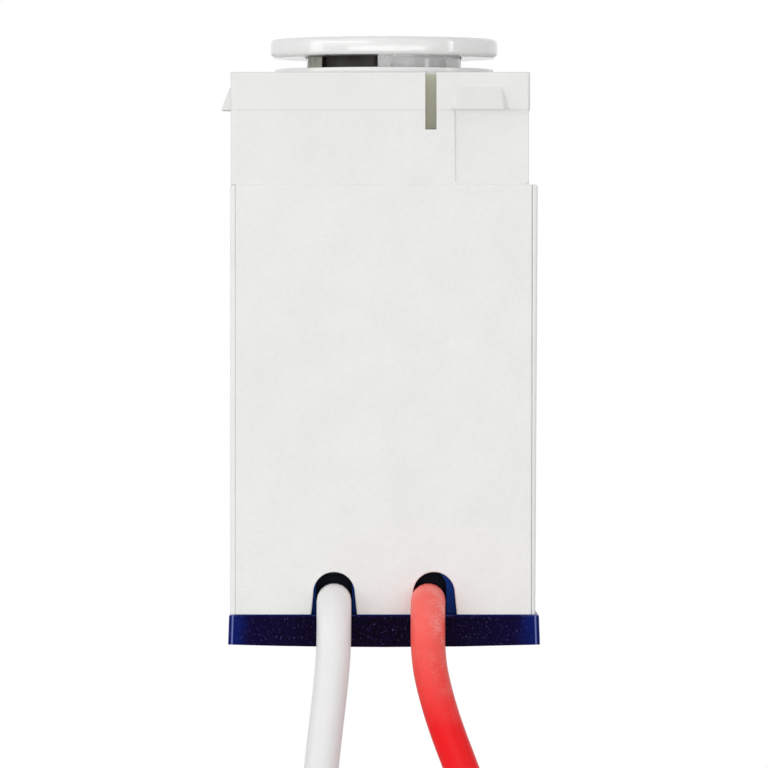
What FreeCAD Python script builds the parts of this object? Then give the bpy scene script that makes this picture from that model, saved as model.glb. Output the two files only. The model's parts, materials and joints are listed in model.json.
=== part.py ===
import FreeCAD, Part
import math
import operator
import os
from types import SimpleNamespace

import Sketcher
from FreeCAD import Placement, Rotation, Vector

# A snap-in dimmer switch mechanism with a round push button and two flying leads, in millimetres.
# The origin is in the middle of the housing, in the plane of the shoulder that stops the wall plate.
# +Z points out of the wall, along the button's travel. The leads leave the front, which faces -Y.

SIZES = {
    # Lower housing, a U-shaped shell closed by a flat front panel
    "housing_width": 24.6,
    "housing_depth": 24.6,
    "housing_height": 34.4,
    "housing_wall": 1.3,
    "housing_lean": 0.09,  # each side wall leans in by this much at the foot
    "lip": 0.4,  # the side walls' lip beside the front panel
    "seam_gap": 0.08,
    "shell_edge": 0.28,
    "shoulder_edge": 0.18,
    "back_edge": 0.6,
    "panel_edge": 0.2,
    # Arched openings for the leads, at the foot of the front panel
    "lead_spacing": 8.0,
    "arch_width": 3.35,
    "arch_foot_width": 3.7,
    "arch_height": 3.4,
    # Snap-in neck
    "neck_width": 23.86,
    "neck_depth": 24.36,
    "neck_height": 9.0,
    "neck_left_step": 0.03,
    "neck_edge": 0.25,
    "band_height": 3.0,
    "band_step": 0.07,
    "top_plate": 1.2,
    "spigot_length": 2.0,
    "spigot_wall": 1.0,
    "fit_gap": 0.1,
    # Flexible tongues at the neck's right-hand corners
    "tongue_thickness": 1.2,
    "tongue_slot_place": 3.3,  # from the middle to the slot's near side
    "relief_width": 0.9,
    "relief_depth": 4.6,
    "inner_wall": 1.0,
    # Wedge catches, and the hollow in the neck's face below the one on a tongue
    "catch_width": 4.96,
    "catch_reach": 0.78,
    "catch_flank": 0.51,
    "catch_height": 1.7,
    "catch_top_width": 3.74,
    "catch_top_reach": 0.1,
    "catch_corner_distance": 1.5,
    "hollow_place": 5.6,
    "hollow_foot": 0.2,
    "hollow_depth": 0.3,
    # Collar round the button
    "collar_diameter": 17.8,
    "collar_height": 0.52,
    "collar_edge": 0.25,
    "sleeve_wall": 1.1,
    "sleeve_length": 2.6,
    # Push button
    "button_diameter": 18.4,
    "button_thickness": 1.43,
    "button_gap": 1.02,  # from the collar to the button's underside, at rest
    "button_top_edge": 0.4,
    "button_lower_edge": 0.28,
    "skirt_diameter": 12.54,
    "skirt_wall": 1.2,
    "skirt_length": 4.94,
    "slide_gap": 0.08,
    "rib_half_angle": 4.6,
    "window_angle": 54.0,
    "guide_angle": 79.0,
    "window_height": 2.1,
    "recess_depth": 0.4,
    "barb_reach": 0.45,
    "barb_height": 0.7,
    "barb_angle": 18.0,
    "actuator_diameter": 3.0,
    "touch_gap": 0.05,
    # Light guide in the button's skirt, and the lamp below it
    "guide_thickness": 0.8,
    "guide_gap": 0.04,
    "guide_leg_length": 2.2,
    "lamp_length": 1.6,
    "lamp_width": 0.8,
    "lamp_height": 0.8,
    # Return spring
    "spring_wire": 0.4,
    "spring_clearance": 0.2,
    "spring_turns": 3.5,
    # Tactile switch on the control board
    "switch_side": 6.0,
    "switch_height": 3.5,
    "switch_corner": 0.4,
    "switch_foot_reach": 0.4,
    "switch_foot_place": 1.9,
    "switch_foot_width": 0.7,
    "switch_foot_thickness": 0.3,
    "plunger_diameter": 3.4,
    "plunger_gap": 0.1,
    "plunger_stand": 1.5,
    "plunger_root": 1.3,
    "plunger_edge": 0.3,
    "well_depth": 1.9,
    # Circuit boards
    "board_thickness": 1.6,
    "board_level": 2.0,  # the control board's top, above the shoulder
    "board_corner": 1.0,
    "power_board_setback": 3.8,
    "radio_length": 15.0,
    "radio_width": 9.0,
    "radio_board_thickness": 0.8,
    "radio_can_height": 1.4,
    "radio_border": 1.0,
    "pin_pitch": 2.0,
    "pin_side": 0.5,
    "header_side": 2.0,
    "header_height": 2.5,
    # Power parts on the upright board
    "transistor_width": 6.5,
    "transistor_length": 6.1,
    "transistor_height": 2.3,
    "transistor_spacing": 9.6,
    "transistor_drop": 12.0,
    "tab_thickness": 0.5,
    "tab_length": 1.0,
    "leg_length": 2.6,
    "leg_width": 0.8,
    "pad_thickness": 0.3,
    "pad_border": 1.0,
    "spreader_width": 19.0,
    "spreader_height": 22.0,
    "spreader_thickness": 0.8,
    "spreader_drop": 3.2,
    "spreader_corner": 1.0,
    "part_gap": 0.7,
    "film_capacitor_gap": 2.3,
    "film_capacitor_width": 6.0,
    "film_capacitor_height": 11.0,
    "part_edge": 0.5,
    "can_height": 9.4,
    "can_groove": 0.35,
    "can_bead": 1.4,
    "choke_share": 0.55,  # of the board's width that the choke and the can fill side by side
    "choke_post_share": 0.44,  # of the choke's diameter
    "choke_height": 8.0,
    "choke_flange": 1.0,
    "winding_recess": 0.6,
    "fuse_side": 8.2,
    "fuse_height": 7.6,
    "varistor_diameter": 7.0,
    "varistor_thickness": 3.4,
    "varistor_leg": 0.8,
    "rectifier_side": 6.4,
    "rectifier_height": 2.6,
    # Base cap
    "base_overhang": 0.1,
    "base_flare": 0.08,
    "base_height": 2.4,
    "base_crown": 0.2,
    "base_edge": 0.16,
    "base_corner": 0.4,
    "insert_height": 5.0,
    "insert_wall": 1.2,
    "tunnel_width": 2.9,
    "tunnel_height": 3.6,
    # Clamp over the leads
    "clamp_setback": 0.4,
    "clamp_thickness": 1.4,
    "clamp_height": 3.2,
    "clamp_end": 3.0,
    "screw_head_diameter": 1.3,
    "screw_head_height": 0.7,
    "screw_diameter": 0.9,
    "screw_grip": 0.8,  # how far the screw goes into the base cap
    # Flying leads
    "lead_diameter": 2.76,
    "lead_length": 100.0,
    "lead_rise": 1.1,  # the lead's axis above the base cap's upper face
    "lead_gap": 0.04,
    "lead_board_gap": 0.3,
    "lead_bend": 2.9,
    "white_lead_tilt": 6.3,
    "white_lead_sway_radius": 18.0,
    "white_lead_slant": 11.0,
    "white_lead_return_radius": 40.0,
    "red_lead_shift": 0.45,  # from its arch's middle towards the white lead
    "red_lead_tilt": 20.5,
    "red_lead_sway_radius": 19.4,
    "red_lead_slant": 6.6,
    "red_lead_return_radius": 30.0,
    # Copper cores
    "core_diameter": 1.3,
    "core_stand": 0.9,
    "solder_diameter": 2.0,
    "solder_height": 0.7,
    "tip_length": 8.0,
}

doc = FreeCAD.newDocument("DimmerSwitch")
sheet = doc.addObject("Spreadsheet::Sheet", "Sizes")
for row, (alias, value) in enumerate(SIZES.items(), start=1):
    sheet.set(f"A{row}", alias)
    sheet.set(f"B{row}", str(value))
    sheet.setAlias(f"B{row}", alias)
doc.recompute()

OPERATIONS = {"+": operator.add, "-": operator.sub, "*": operator.mul, "/": operator.truediv}


class Length:
    """A length, or an angle in degrees, as a number and as an expression of the sheet's cells."""

    def __init__(self, value, text=None):
        self.value = float(value)
        self.text = text or f"({value})"

    def __add__(self, other):
        return combine(self, "+", other)

    def __radd__(self, other):
        return combine(other, "+", self)

    def __sub__(self, other):
        return combine(self, "-", other)

    def __rsub__(self, other):
        return combine(other, "-", self)

    def __mul__(self, other):
        return combine(self, "*", other)

    def __rmul__(self, other):
        return combine(other, "*", self)

    def __truediv__(self, other):
        return combine(self, "/", other)

    def __neg__(self):
        return combine(0, "-", self)


def as_length(given):
    return given if isinstance(given, Length) else Length(given)


def combine(first, sign, second):
    first, second = as_length(first), as_length(second)
    value = OPERATIONS[sign](first.value, second.value)
    return Length(value, f"({first.text} {sign} {second.text})")


def polar(radius, angle):
    """The two coordinates of a point on a circle about the origin."""
    turn = math.radians(angle.value)
    return (Length(radius.value * math.cos(turn), f"({radius.text} * cos({angle.text} * 1 deg))"),
            Length(radius.value * math.sin(turn), f"({radius.text} * sin({angle.text} * 1 deg))"))


S = SimpleNamespace(**{name: Length(value, f"Sizes.{name}") for name, value in SIZES.items()})

# Places that several pieces share
SIDE = S.housing_width / 2
FRONT = -S.housing_depth / 2
FOOT = -S.housing_height
INSIDE = SIDE - S.housing_wall
INSIDE_BACK = -FRONT - S.housing_wall
PANEL_SIDE = SIDE - S.lip - S.seam_gap
NECK_LEFT = -SIDE + S.neck_left_step
NECK_RIGHT = NECK_LEFT + S.neck_width
NECK_FRONT = -S.neck_depth / 2
BAND_FOOT = S.neck_height - S.band_height
PLUG_SIDE = INSIDE - S.fit_gap
PLUG_BACK = INSIDE_BACK - S.fit_gap
CAVITY_SIDE = PLUG_SIDE - S.spigot_wall
CAVITY_BACK = PLUG_BACK - S.spigot_wall
RELIEF_FRONT = NECK_FRONT + S.tongue_thickness
RELIEF_BACK = RELIEF_FRONT + S.relief_width
COLLAR_TOP = S.neck_height + S.collar_height
SLEEVE_FOOT = S.neck_height - S.sleeve_length
SKIRT = S.skirt_diameter / 2
SKIRT_INSIDE = SKIRT - S.skirt_wall
BORE = SKIRT + S.slide_gap
SLEEVE = BORE + S.sleeve_wall
UNDERSIDE = COLLAR_TOP + S.button_gap
SKIRT_FOOT = UNDERSIDE - S.skirt_length
WINDOW_FOOT = UNDERSIDE - S.window_height
SWITCH_TOP = S.board_level + S.switch_height
PLUNGER_TOP = SWITCH_TOP + S.plunger_stand
CONTROL_BOARD_FOOT = S.board_level - S.board_thickness
POWER_BOARD_FRONT = FRONT + S.housing_wall + S.power_board_setback
POWER_BOARD_BACK = POWER_BOARD_FRONT + S.board_thickness
POWER_BOARD_SIDE = PLUG_SIDE - S.insert_wall - S.fit_gap
TRANSISTOR_FACE = POWER_BOARD_FRONT - S.transistor_height
TRANSISTOR_FOOT = -S.transistor_drop - S.transistor_length
PAD_FACE = TRANSISTOR_FACE - S.pad_thickness
HEADER_FOOT = CONTROL_BOARD_FOOT - S.header_height
PARTS_SIDE = POWER_BOARD_SIDE - S.board_corner / 4
CHOKE_DIAMETER = (PARTS_SIDE * 2 - S.part_gap) * S.choke_share
CAN_DIAMETER = PARTS_SIDE * 2 - S.part_gap - CHOKE_DIAMETER
PARTS_TOP = HEADER_FOOT - S.part_gap
SECOND_ROW = PARTS_TOP - S.film_capacitor_width - S.part_gap
THIRD_ROW = SECOND_ROW - CHOKE_DIAMETER - S.part_gap
LEAD_LEVEL = FOOT + S.lead_rise
WHITE_LEAD = -S.lead_spacing / 2
RED_LEAD = S.lead_spacing / 2 - S.red_lead_shift
LEAD_START = POWER_BOARD_FRONT - S.lead_board_gap
CLAMP_FRONT = -PLUG_BACK + S.insert_wall + S.clamp_setback
CLAMP_TOP = FOOT + S.clamp_height


def fill(thing, settings):
    """Sets each property, by an expression where its value is a Length."""
    for path, value in settings.items():
        if isinstance(value, Length):
            thing.setExpression(path, value.text)
        else:
            setattr(thing, path, value)


def new_object(kind, label, settings):
    made = doc.addObject(kind, label.title().replace("_", ""))
    made.Label = label
    fill(made, settings)
    return made


def new_body(label):
    return new_object("PartDesign::Body", label, {})


def origin_part(body, role):
    return next(f for f in body.Origin.OriginFeatures if f.Role == role)


def new_sketch(body, name, plane, offset=0):
    """An empty sketch on one of the body's origin planes, or a distance along that plane's normal."""
    sketch = body.newObject("Sketcher::SketchObject", name)
    sketch.AttachmentSupport = [(origin_part(body, plane), "")]
    sketch.MapMode = "FlatFace"
    sketch.setExpression("AttachmentOffset.Base.z", as_length(offset).text)
    return sketch


def measure(sketch, length, kind, *where):
    """Adds a dimension to a sketch and ties it to a length."""
    index = sketch.addConstraint(Sketcher.Constraint(kind, *where, length.value))
    sketch.setExpression(f"Constraints[{index}]", length.text)


def pin(sketch, edge, end, point):
    """Ties an edge's end to two distances from the sketch's origin."""
    measure(sketch, as_length(point[0]), "DistanceX", -1, 1, edge, end)
    measure(sketch, as_length(point[1]), "DistanceY", -1, 1, edge, end)


def join(sketch, *pairs):
    for pair in pairs:
        sketch.addConstraint(Sketcher.Constraint("Coincident", *pair))


def flat(point):
    return Vector(as_length(point[0]).value, as_length(point[1]).value, 0)


def outline(body, name, plane, corners, offset=0):
    """A closed outline of straight lines."""
    sketch = new_sketch(body, name, plane, offset)
    count = len(corners)
    for i in range(count):
        sketch.addGeometry(Part.LineSegment(flat(corners[i]), flat(corners[(i + 1) % count])), False)
    join(sketch, *[(i, 2, (i + 1) % count, 1) for i in range(count)])
    for i, corner in enumerate(corners):
        pin(sketch, i, 1, corner)
    return sketch


def rectangle(body, name, plane, across, up, offset=0):
    corners = [(across[0], up[0]), (across[1], up[0]), (across[1], up[1]), (across[0], up[1])]
    return outline(body, name, plane, corners, offset)


def circle(body, name, radius, offset=0):
    """A circle about Z."""
    sketch = new_sketch(body, name, "XY_Plane", offset)
    sketch.addGeometry(Part.Circle(Vector(), Vector(0, 0, 1), radius.value), False)
    join(sketch, (0, 3, -1, 1))
    measure(sketch, radius, "Radius", 0)
    return sketch


def add_arch(sketch, middle, half_width, half_foot, foot, crown):
    """Adds a round-headed opening to a sketch: a half circle on two legs that spread to the foot."""
    first = sketch.GeometryCount
    centre = (middle, crown - half_width)
    right, left = (middle + half_width, centre[1]), (middle - half_width, centre[1])
    left_foot, right_foot = (middle - half_foot, foot), (middle + half_foot, foot)
    head = Part.Circle(flat(centre), Vector(0, 0, 1), half_width.value)
    sketch.addGeometry(Part.ArcOfCircle(head, 0, math.pi), False)
    for start, end in ((left, left_foot), (left_foot, right_foot), (right_foot, right)):
        sketch.addGeometry(Part.LineSegment(flat(start), flat(end)), False)
    join(sketch, (first, 2, first + 1, 1), (first + 1, 2, first + 2, 1),
         (first + 2, 2, first + 3, 1), (first + 3, 2, first, 1))
    pin(sketch, first, 3, centre)
    pin(sketch, first, 1, right)
    measure(sketch, left[1], "DistanceY", -1, 1, first, 2)
    pin(sketch, first + 2, 1, left_foot)
    pin(sketch, first + 2, 2, right_foot)


def sector(body, name, inner, outer, start, end, offset):
    """A piece of a ring about Z, between two angles."""
    sketch = new_sketch(body, name, "XY_Plane", offset)
    for radius in (inner, outer):
        ring = Part.Circle(Vector(), Vector(0, 0, 1), radius.value)
        turns = (math.radians(start.value), math.radians(end.value))
        sketch.addGeometry(Part.ArcOfCircle(ring, *turns), False)
    for angle in (start, end):
        ends = (flat(polar(inner, angle)), flat(polar(outer, angle)))
        sketch.addGeometry(Part.LineSegment(*ends), False)
    join(sketch, (0, 3, -1, 1), (1, 3, -1, 1), (0, 1, 2, 1), (1, 1, 2, 2), (0, 2, 3, 1), (1, 2, 3, 2))
    pin(sketch, 2, 1, polar(inner, start))
    measure(sketch, polar(inner, end)[0], "DistanceX", -1, 1, 3, 1)
    measure(sketch, outer, "Radius", 1)
    measure(sketch, polar(outer, start)[0], "DistanceX", -1, 1, 2, 2)
    measure(sketch, polar(outer, end)[0], "DistanceX", -1, 1, 3, 2)
    return sketch


def volume(body):
    return body.Tip.Shape.Volume if body.Tip and not body.Tip.Shape.isNull() else 0.0


def add(body, kind, name, grows, settings):
    """Adds a feature to a body and stops if the body's volume doesn't change the right way."""
    before = volume(body)
    made = body.newObject(f"PartDesign::{kind}", name)
    fill(made, settings)
    doc.recompute()
    body.Tip = made
    change = volume(body) - before
    if (change > 0) != grows or abs(change) < 1e-4:
        raise RuntimeError(f"{body.Label}: {name} changed the volume by {change:.4f}")
    return made


def pad(body, sketch, length, reverse=False, both=False):
    return add(body, "Pad", sketch.Name + "Pad", True,
               {"Profile": sketch, "Reversed": reverse, "Midplane": both, "Length": length})


def pocket(body, sketch, length, reverse=False):
    return add(body, "Pocket", sketch.Name + "Pocket", False,
               {"Profile": sketch, "Reversed": reverse, "Length": length})


def revolve(body, sketch, angle=360, both=False):
    return add(body, "Revolution", sketch.Name + "Turn", True,
               {"Profile": sketch, "ReferenceAxis": (origin_part(body, "Z_Axis"), [""]),
                "Midplane": both, "Angle": as_length(angle)})


def mirror(body, name, originals, grows):
    """Repeats features on the other side of the housing's middle plane, front to back."""
    return add(body, "Mirrored", name, grows,
               {"Originals": originals, "MirrorPlane": (origin_part(body, "XZ_Plane"), [""])})


def edge_names(body, chosen):
    return [f"Edge{i}" for i, edge in enumerate(body.Tip.Shape.Edges, start=1) if chosen(edge)]


def round_edges(body, name, radius, chosen, grows=False):
    """Rounds each edge of the body that passes the test."""
    return add(body, "Fillet", name, grows,
               {"Base": (body.Tip, edge_names(body, chosen)), "Radius": radius})


def bevel_edges(body, name, size, chosen):
    """Cuts each edge of the body that passes the test at 45 degrees."""
    return add(body, "Chamfer", name, False, {"Base": (body.Tip, edge_names(body, chosen)), "Size": size})


def upright(edge):
    ends = [v.Point for v in edge.Vertexes]
    return len(ends) == 2 and (ends[0] - ends[1]).cross(Vector(0, 0, 1)).Length < 0.2


def lies_at(edge, axis, where):
    """Whether the whole edge lies at one place along an axis."""
    low, high = (getattr(edge.BoundBox, f"{axis}{end}") for end in ("Min", "Max"))
    return abs(low - where.value) < 1e-3 and abs(high - where.value) < 1e-3


def block(label, across, deep, up):
    """A box between two places along each of X, Y and Z."""
    settings = {}
    for side, axis, (low, high) in zip(("Length", "Width", "Height"), "xyz", (across, deep, up)):
        settings[side] = as_length(high) - low
        settings[f"Placement.Base.{axis}"] = as_length(low)
    return new_object("Part::Box", label, settings)


ALONG_Z = Rotation()
ALONG_X = Rotation(Vector(0, 1, 0), 90)
ALONG_Y = Rotation(Vector(1, 0, 0), -90)
TO_THE_FRONT = Rotation(Vector(1, 0, 0), 90)


def rod(label, radius, length, start, turn=ALONG_Y):
    """A cylinder from a starting point."""
    settings = {"Placement": Placement(Vector(), turn), "Radius": radius, "Height": length}
    settings.update({f"Placement.Base.{axis}": as_length(at) for axis, at in zip("xyz", start)})
    return new_object("Part::Cylinder", label, settings)


def cut(label, base, tool):
    return new_object("Part::Cut", label, {"Base": base, "Tool": tool})


def unite(label, pieces):
    return new_object("Part::MultiFuse", label, {"Shapes": pieces})


def stack(label, across, up, steps):
    """Coaxial discs that stand one on another behind the power board, each a radius and a length."""
    depth = POWER_BOARD_BACK
    discs = []
    for number, (radius, length) in enumerate(steps, start=1):
        discs.append(rod(f"{label}_disc_{number}", radius, length, (across, depth, up)))
        depth = depth + length
    return unite(label, discs)


def soften(label, base, radius, chosen=lambda edge: True):
    """Rounds the chosen edges of a primitive or a boolean."""
    doc.recompute()
    edges = [(i, radius.value, radius.value) for i, e in enumerate(base.Shape.Edges, start=1) if chosen(e)]
    return new_object("Part::Fillet", label, {"Base": base, "Edges": edges})


def rear_shell():
    """Left, back and right walls of the lower housing. The side walls end in thin lips at the front."""
    body = new_body("rear_shell")
    foot_side = SIDE - S.housing_lean
    corners = [(-SIDE, 0), (-foot_side, FOOT), (foot_side, FOOT), (SIDE, 0)]
    pad(body, outline(body, "ShellFront", "XZ_Plane", corners), S.housing_depth, both=True)
    beyond = -S.housing_depth
    inside = rectangle(body, "ShellInside", "XY_Plane", (-INSIDE, INSIDE), (beyond, INSIDE_BACK))
    pocket(body, inside, S.housing_height)
    lip = SIDE - S.lip
    seat = rectangle(body, "PanelSeat", "XY_Plane", (-lip, lip), (beyond, FRONT + S.housing_wall))
    pocket(body, seat, S.housing_height)
    round_edges(body, "BackEdges", S.back_edge, lambda e: upright(e) and lies_at(e, "Y", -FRONT))
    outermost = foot_side.value - 0.01
    round_edges(body, "LipEdges", S.shell_edge,
                lambda e: upright(e) and lies_at(e, "Y", FRONT) and abs(e.CenterOfMass.x) > outermost)
    bevel_edges(body, "ShoulderEdge", S.shoulder_edge,
                lambda e: lies_at(e, "Z", as_length(0)) and lies_at(e, "X", SIDE))
    return body


def front_panel():
    """Flat front wall with the two arched lead openings at its foot."""
    body = new_body("front_panel")
    plate = rectangle(body, "Panel", "XY_Plane", (-PANEL_SIDE, PANEL_SIDE), (FRONT, FRONT + S.housing_wall))
    pad(body, plate, S.housing_height, reverse=True)
    sketch = new_sketch(body, "Arches", "XZ_Plane", -FRONT)
    for middle in (-S.lead_spacing / 2, S.lead_spacing / 2):
        add_arch(sketch, middle, S.arch_width / 2, S.arch_foot_width / 2, FOOT, FOOT + S.arch_height)
    pocket(body, sketch, S.housing_wall)
    outermost = PANEL_SIDE.value - 0.01
    round_edges(body, "PanelEdges", S.panel_edge,
                lambda e: upright(e) and lies_at(e, "Y", FRONT) and abs(e.CenterOfMass.x) > outermost)
    return body


def catch(body, name, place):
    """A wedge that stands out furthest at its foot and thins away upwards, between sloped flanks.

    place gives a point on the neck from how far it lies along the wall and how far out of it.
    """
    sections = []
    ends = (("Foot", S.catch_width, S.catch_reach, BAND_FOOT),
            ("Top", S.catch_top_width, S.catch_top_reach, BAND_FOOT + S.catch_height))
    for end, width, reach, level in ends:
        half, flank, root = width / 2, S.catch_flank * reach / S.catch_reach, -S.band_step
        corners = [(-half, root), (half, root), (half, as_length(0)), (half - flank, reach),
                   (flank - half, reach), (-half, as_length(0))]
        sections.append(outline(body, name + end, "XY_Plane", [place(*corner) for corner in corners], level))
    return add(body, "AdditiveLoft", name, True,
               {"Profile": sections[0], "Sections": [sections[1]], "Ruled": True})


def neck_housing():
    """Upper housing that snaps into the wall plate, with a spigot that plugs into the lower housing."""
    body = new_body("neck_housing")
    neck = rectangle(body, "Neck", "XY_Plane", (NECK_LEFT, NECK_RIGHT), (NECK_FRONT, -NECK_FRONT))
    pad(body, neck, S.neck_height)
    band_front, band_right = NECK_FRONT - S.band_step, NECK_RIGHT + S.band_step
    band = rectangle(body, "Band", "XY_Plane", (NECK_LEFT, band_right), (band_front, -band_front), BAND_FOOT)
    pad(body, band, S.band_height)
    spigot = rectangle(body, "Spigot", "XY_Plane", (-PLUG_SIDE, PLUG_SIDE), (-PLUG_BACK, PLUG_BACK))
    pad(body, spigot, S.spigot_length, reverse=True)
    lower = rectangle(body, "LowerCavity", "XY_Plane", (-CAVITY_SIDE, CAVITY_SIDE),
                      (-CAVITY_BACK, CAVITY_BACK), -S.spigot_length)
    pocket(body, lower, S.spigot_length + S.board_level, reverse=True)
    wall_inside = RELIEF_BACK + S.inner_wall
    upper = rectangle(body, "UpperCavity", "XY_Plane", (-CAVITY_SIDE, CAVITY_SIDE),
                      (wall_inside, -wall_inside), S.board_level)
    pocket(body, upper, S.neck_height - S.top_plate - S.board_level, reverse=True)
    pocket(body, circle(body, "SleeveHole", SLEEVE + S.fit_gap, S.neck_height), S.top_plate)

    slot = S.tongue_slot_place
    beyond = S.housing_width
    corners = [(slot, -beyond), (slot + S.relief_width, -beyond), (slot + S.relief_width, RELIEF_FRONT),
               (beyond, RELIEF_FRONT), (beyond, RELIEF_BACK), (slot, RELIEF_BACK)]
    relief = pocket(body, outline(body, "Relief", "XY_Plane", corners, S.neck_height), S.relief_depth)
    hollow = rectangle(body, "Hollow", "XZ_Plane", (S.hollow_place, beyond), (S.hollow_foot, BAND_FOOT),
                       -NECK_FRONT)
    hollow = pocket(body, hollow, S.hollow_depth)
    mirror(body, "BackRelief", [relief, hollow], False)
    middle = S.catch_corner_distance + S.catch_width / 2
    catch(body, "FrontTongueCatch", lambda along, out: (NECK_RIGHT - middle + along, band_front - out))
    catch(body, "BackTongueCatch", lambda along, out: (NECK_RIGHT - middle - along, -band_front + out))
    catch(body, "FixedCatch", lambda along, out: (NECK_LEFT - out, NECK_FRONT + middle - along))

    hollow_face = (S.neck_depth / 2 - S.hollow_depth).value
    round_edges(body, "HollowEdges", S.hollow_depth * 0.9,
                lambda e: upright(e) and lies_at(e, "X", S.hollow_place)
                and abs(abs(e.CenterOfMass.y) - hollow_face) < 0.01, grows=True)
    corner_places = (NECK_LEFT, NECK_RIGHT, band_right)
    round_edges(body, "NeckEdges", S.neck_edge,
                lambda e: upright(e) and e.CenterOfMass.z > 0
                and abs(e.CenterOfMass.y) > -NECK_FRONT.value - 0.01
                and any(lies_at(e, "X", where) for where in corner_places))
    return body


def button_collar():
    """Raised ring on the neck's top, with a sleeve below it that guides the button."""
    body = new_body("button_collar")
    rim = S.collar_diameter / 2
    corners = [(BORE, SLEEVE_FOOT), (SLEEVE, SLEEVE_FOOT), (SLEEVE, S.neck_height), (rim, S.neck_height),
               (rim, COLLAR_TOP - S.collar_edge), (rim - S.collar_edge, COLLAR_TOP), (BORE, COLLAR_TOP)]
    revolve(body, outline(body, "CollarProfile", "XZ_Plane", corners))
    return body


def button_cap():
    """Round disc on a ribbed skirt that slides in the collar, with a post over the tactile switch."""
    body = new_body("button_cap")
    top = UNDERSIDE + S.button_thickness
    post, post_foot, rim = S.actuator_diameter / 2, PLUNGER_TOP + S.touch_gap, S.button_diameter / 2
    upper, lower = S.button_top_edge, S.button_lower_edge
    corners = [(0, post_foot), (post, post_foot), (post, UNDERSIDE), (SKIRT_INSIDE, UNDERSIDE),
               (SKIRT_INSIDE, SKIRT_FOOT), (SKIRT, SKIRT_FOOT), (SKIRT, UNDERSIDE),
               (rim - lower, UNDERSIDE), (rim, UNDERSIDE + lower), (rim, top - upper),
               (rim - upper * 0.3, top - upper * 0.3), (rim - upper, top), (0, top)]
    revolve(body, outline(body, "ButtonProfile", "XZ_Plane", corners))

    front, back, outside = as_length(-90), as_length(90), SKIRT + 1
    through = SKIRT_INSIDE - 0.5
    window = sector(body, "Window", through, outside, front - S.window_angle, front - S.rib_half_angle,
                    WINDOW_FOOT)
    pocket(body, window, S.window_height, reverse=True)
    leg_slot = sector(body, "LegSlot", through, outside, front - S.guide_angle, front - S.window_angle,
                      UNDERSIDE)
    pocket(body, leg_slot, S.skirt_length + 1)
    recesses = (("RightRecess", front + S.rib_half_angle, front + S.window_angle),
                ("RightBackRecess", back - S.window_angle, back - S.rib_half_angle),
                ("LeftBackRecess", back + S.rib_half_angle, back + S.window_angle))
    for name, start, end in recesses:
        recess = sector(body, name, SKIRT - S.recess_depth, outside, start, end, WINDOW_FOOT)
        pocket(body, recess, S.window_height, reverse=True)

    barb_top, root = SLEEVE_FOOT - S.touch_gap, SKIRT - S.recess_depth
    corners = [(root, barb_top - S.barb_height), (SKIRT, barb_top - S.barb_height),
               (SKIRT + S.barb_reach, barb_top), (root, barb_top)]
    barb = revolve(body, outline(body, "BarbProfile", "XZ_Plane", corners), S.barb_angle, both=True)
    add(body, "PolarPattern", "Barbs", True,
        {"Originals": [barb], "Axis": (origin_part(body, "Z_Axis"), [""]), "Angle": 360, "Occurrences": 4})
    return body


def light_guide():
    """Clear guide that fills the skirt's window and carries light up from the lamp."""
    body = new_body("light_guide")
    inner = SKIRT_INSIDE + S.guide_gap
    front = as_length(-90)
    pane = sector(body, "GuidePane", inner, inner + S.guide_thickness, front - S.window_angle - 1,
                  front - S.rib_half_angle - 1, WINDOW_FOOT + S.guide_gap)
    pad(body, pane, S.window_height - S.guide_gap * 2)
    leg = sector(body, "GuideLeg", inner, SKIRT - S.guide_gap, front - S.guide_angle + 1,
                 front - S.window_angle, SKIRT_FOOT - S.guide_leg_length)
    pad(body, leg, S.skirt_length + S.guide_leg_length - S.guide_gap)
    return body


def return_spring():
    """Coil spring of square wire, from the control board to the button's underside."""
    wire = S.spring_wire.value
    radius = (SKIRT_INSIDE - S.spring_clearance).value - wire / 2
    low = S.board_level.value + wire / 2
    rise = UNDERSIDE.value - wire / 2 - low
    quarters = round(S.spring_turns.value * 4)

    def on_coil(quarter):
        turn = quarter * math.pi / 2
        return Vector(radius * math.cos(turn), radius * math.sin(turn), low + rise * quarter / quarters)

    arcs = [Part.Arc(*(on_coil(i + part) for part in (0, 0.5, 1))).toShape() for i in range(quarters)]
    corners = [on_coil(0) + Vector(math.cos(turn), 0, math.sin(turn)) * (wire / 2)
               for turn in (math.radians(45 + 90 * side) for side in range(5))]
    section = Part.makePolygon(corners)
    return new_object("Part::Feature", "return_spring",
                      {"Shape": Part.Wire(arcs).makePipeShell([section], True, False)})


def indicator_lamp():
    """Small surface-mounted lamp under the light guide's leg."""
    half_length, half_width, half_height = S.lamp_length / 2, S.lamp_width / 2, S.lamp_height / 2
    lens_half = half_length * 0.6
    middle = S.board_level + half_height
    case = block("lamp_case", (-half_length, half_length), (-half_width, half_width),
                 (S.board_level, middle))
    lens = block("lamp_lens", (-lens_half, lens_half), (-half_width, half_width),
                 (middle, middle + half_height))
    lamp = unite("indicator_lamp", [case, lens])
    angle = -90 - (S.guide_angle + S.window_angle) / 2
    lamp.Placement = Placement(Vector(), Rotation(Vector(0, 0, 1), angle.value + 90))
    across, deep = polar(SKIRT_INSIDE + S.skirt_wall / 2, angle)
    fill(lamp, {"Placement.Base.x": across, "Placement.Base.y": deep})
    return lamp


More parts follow.
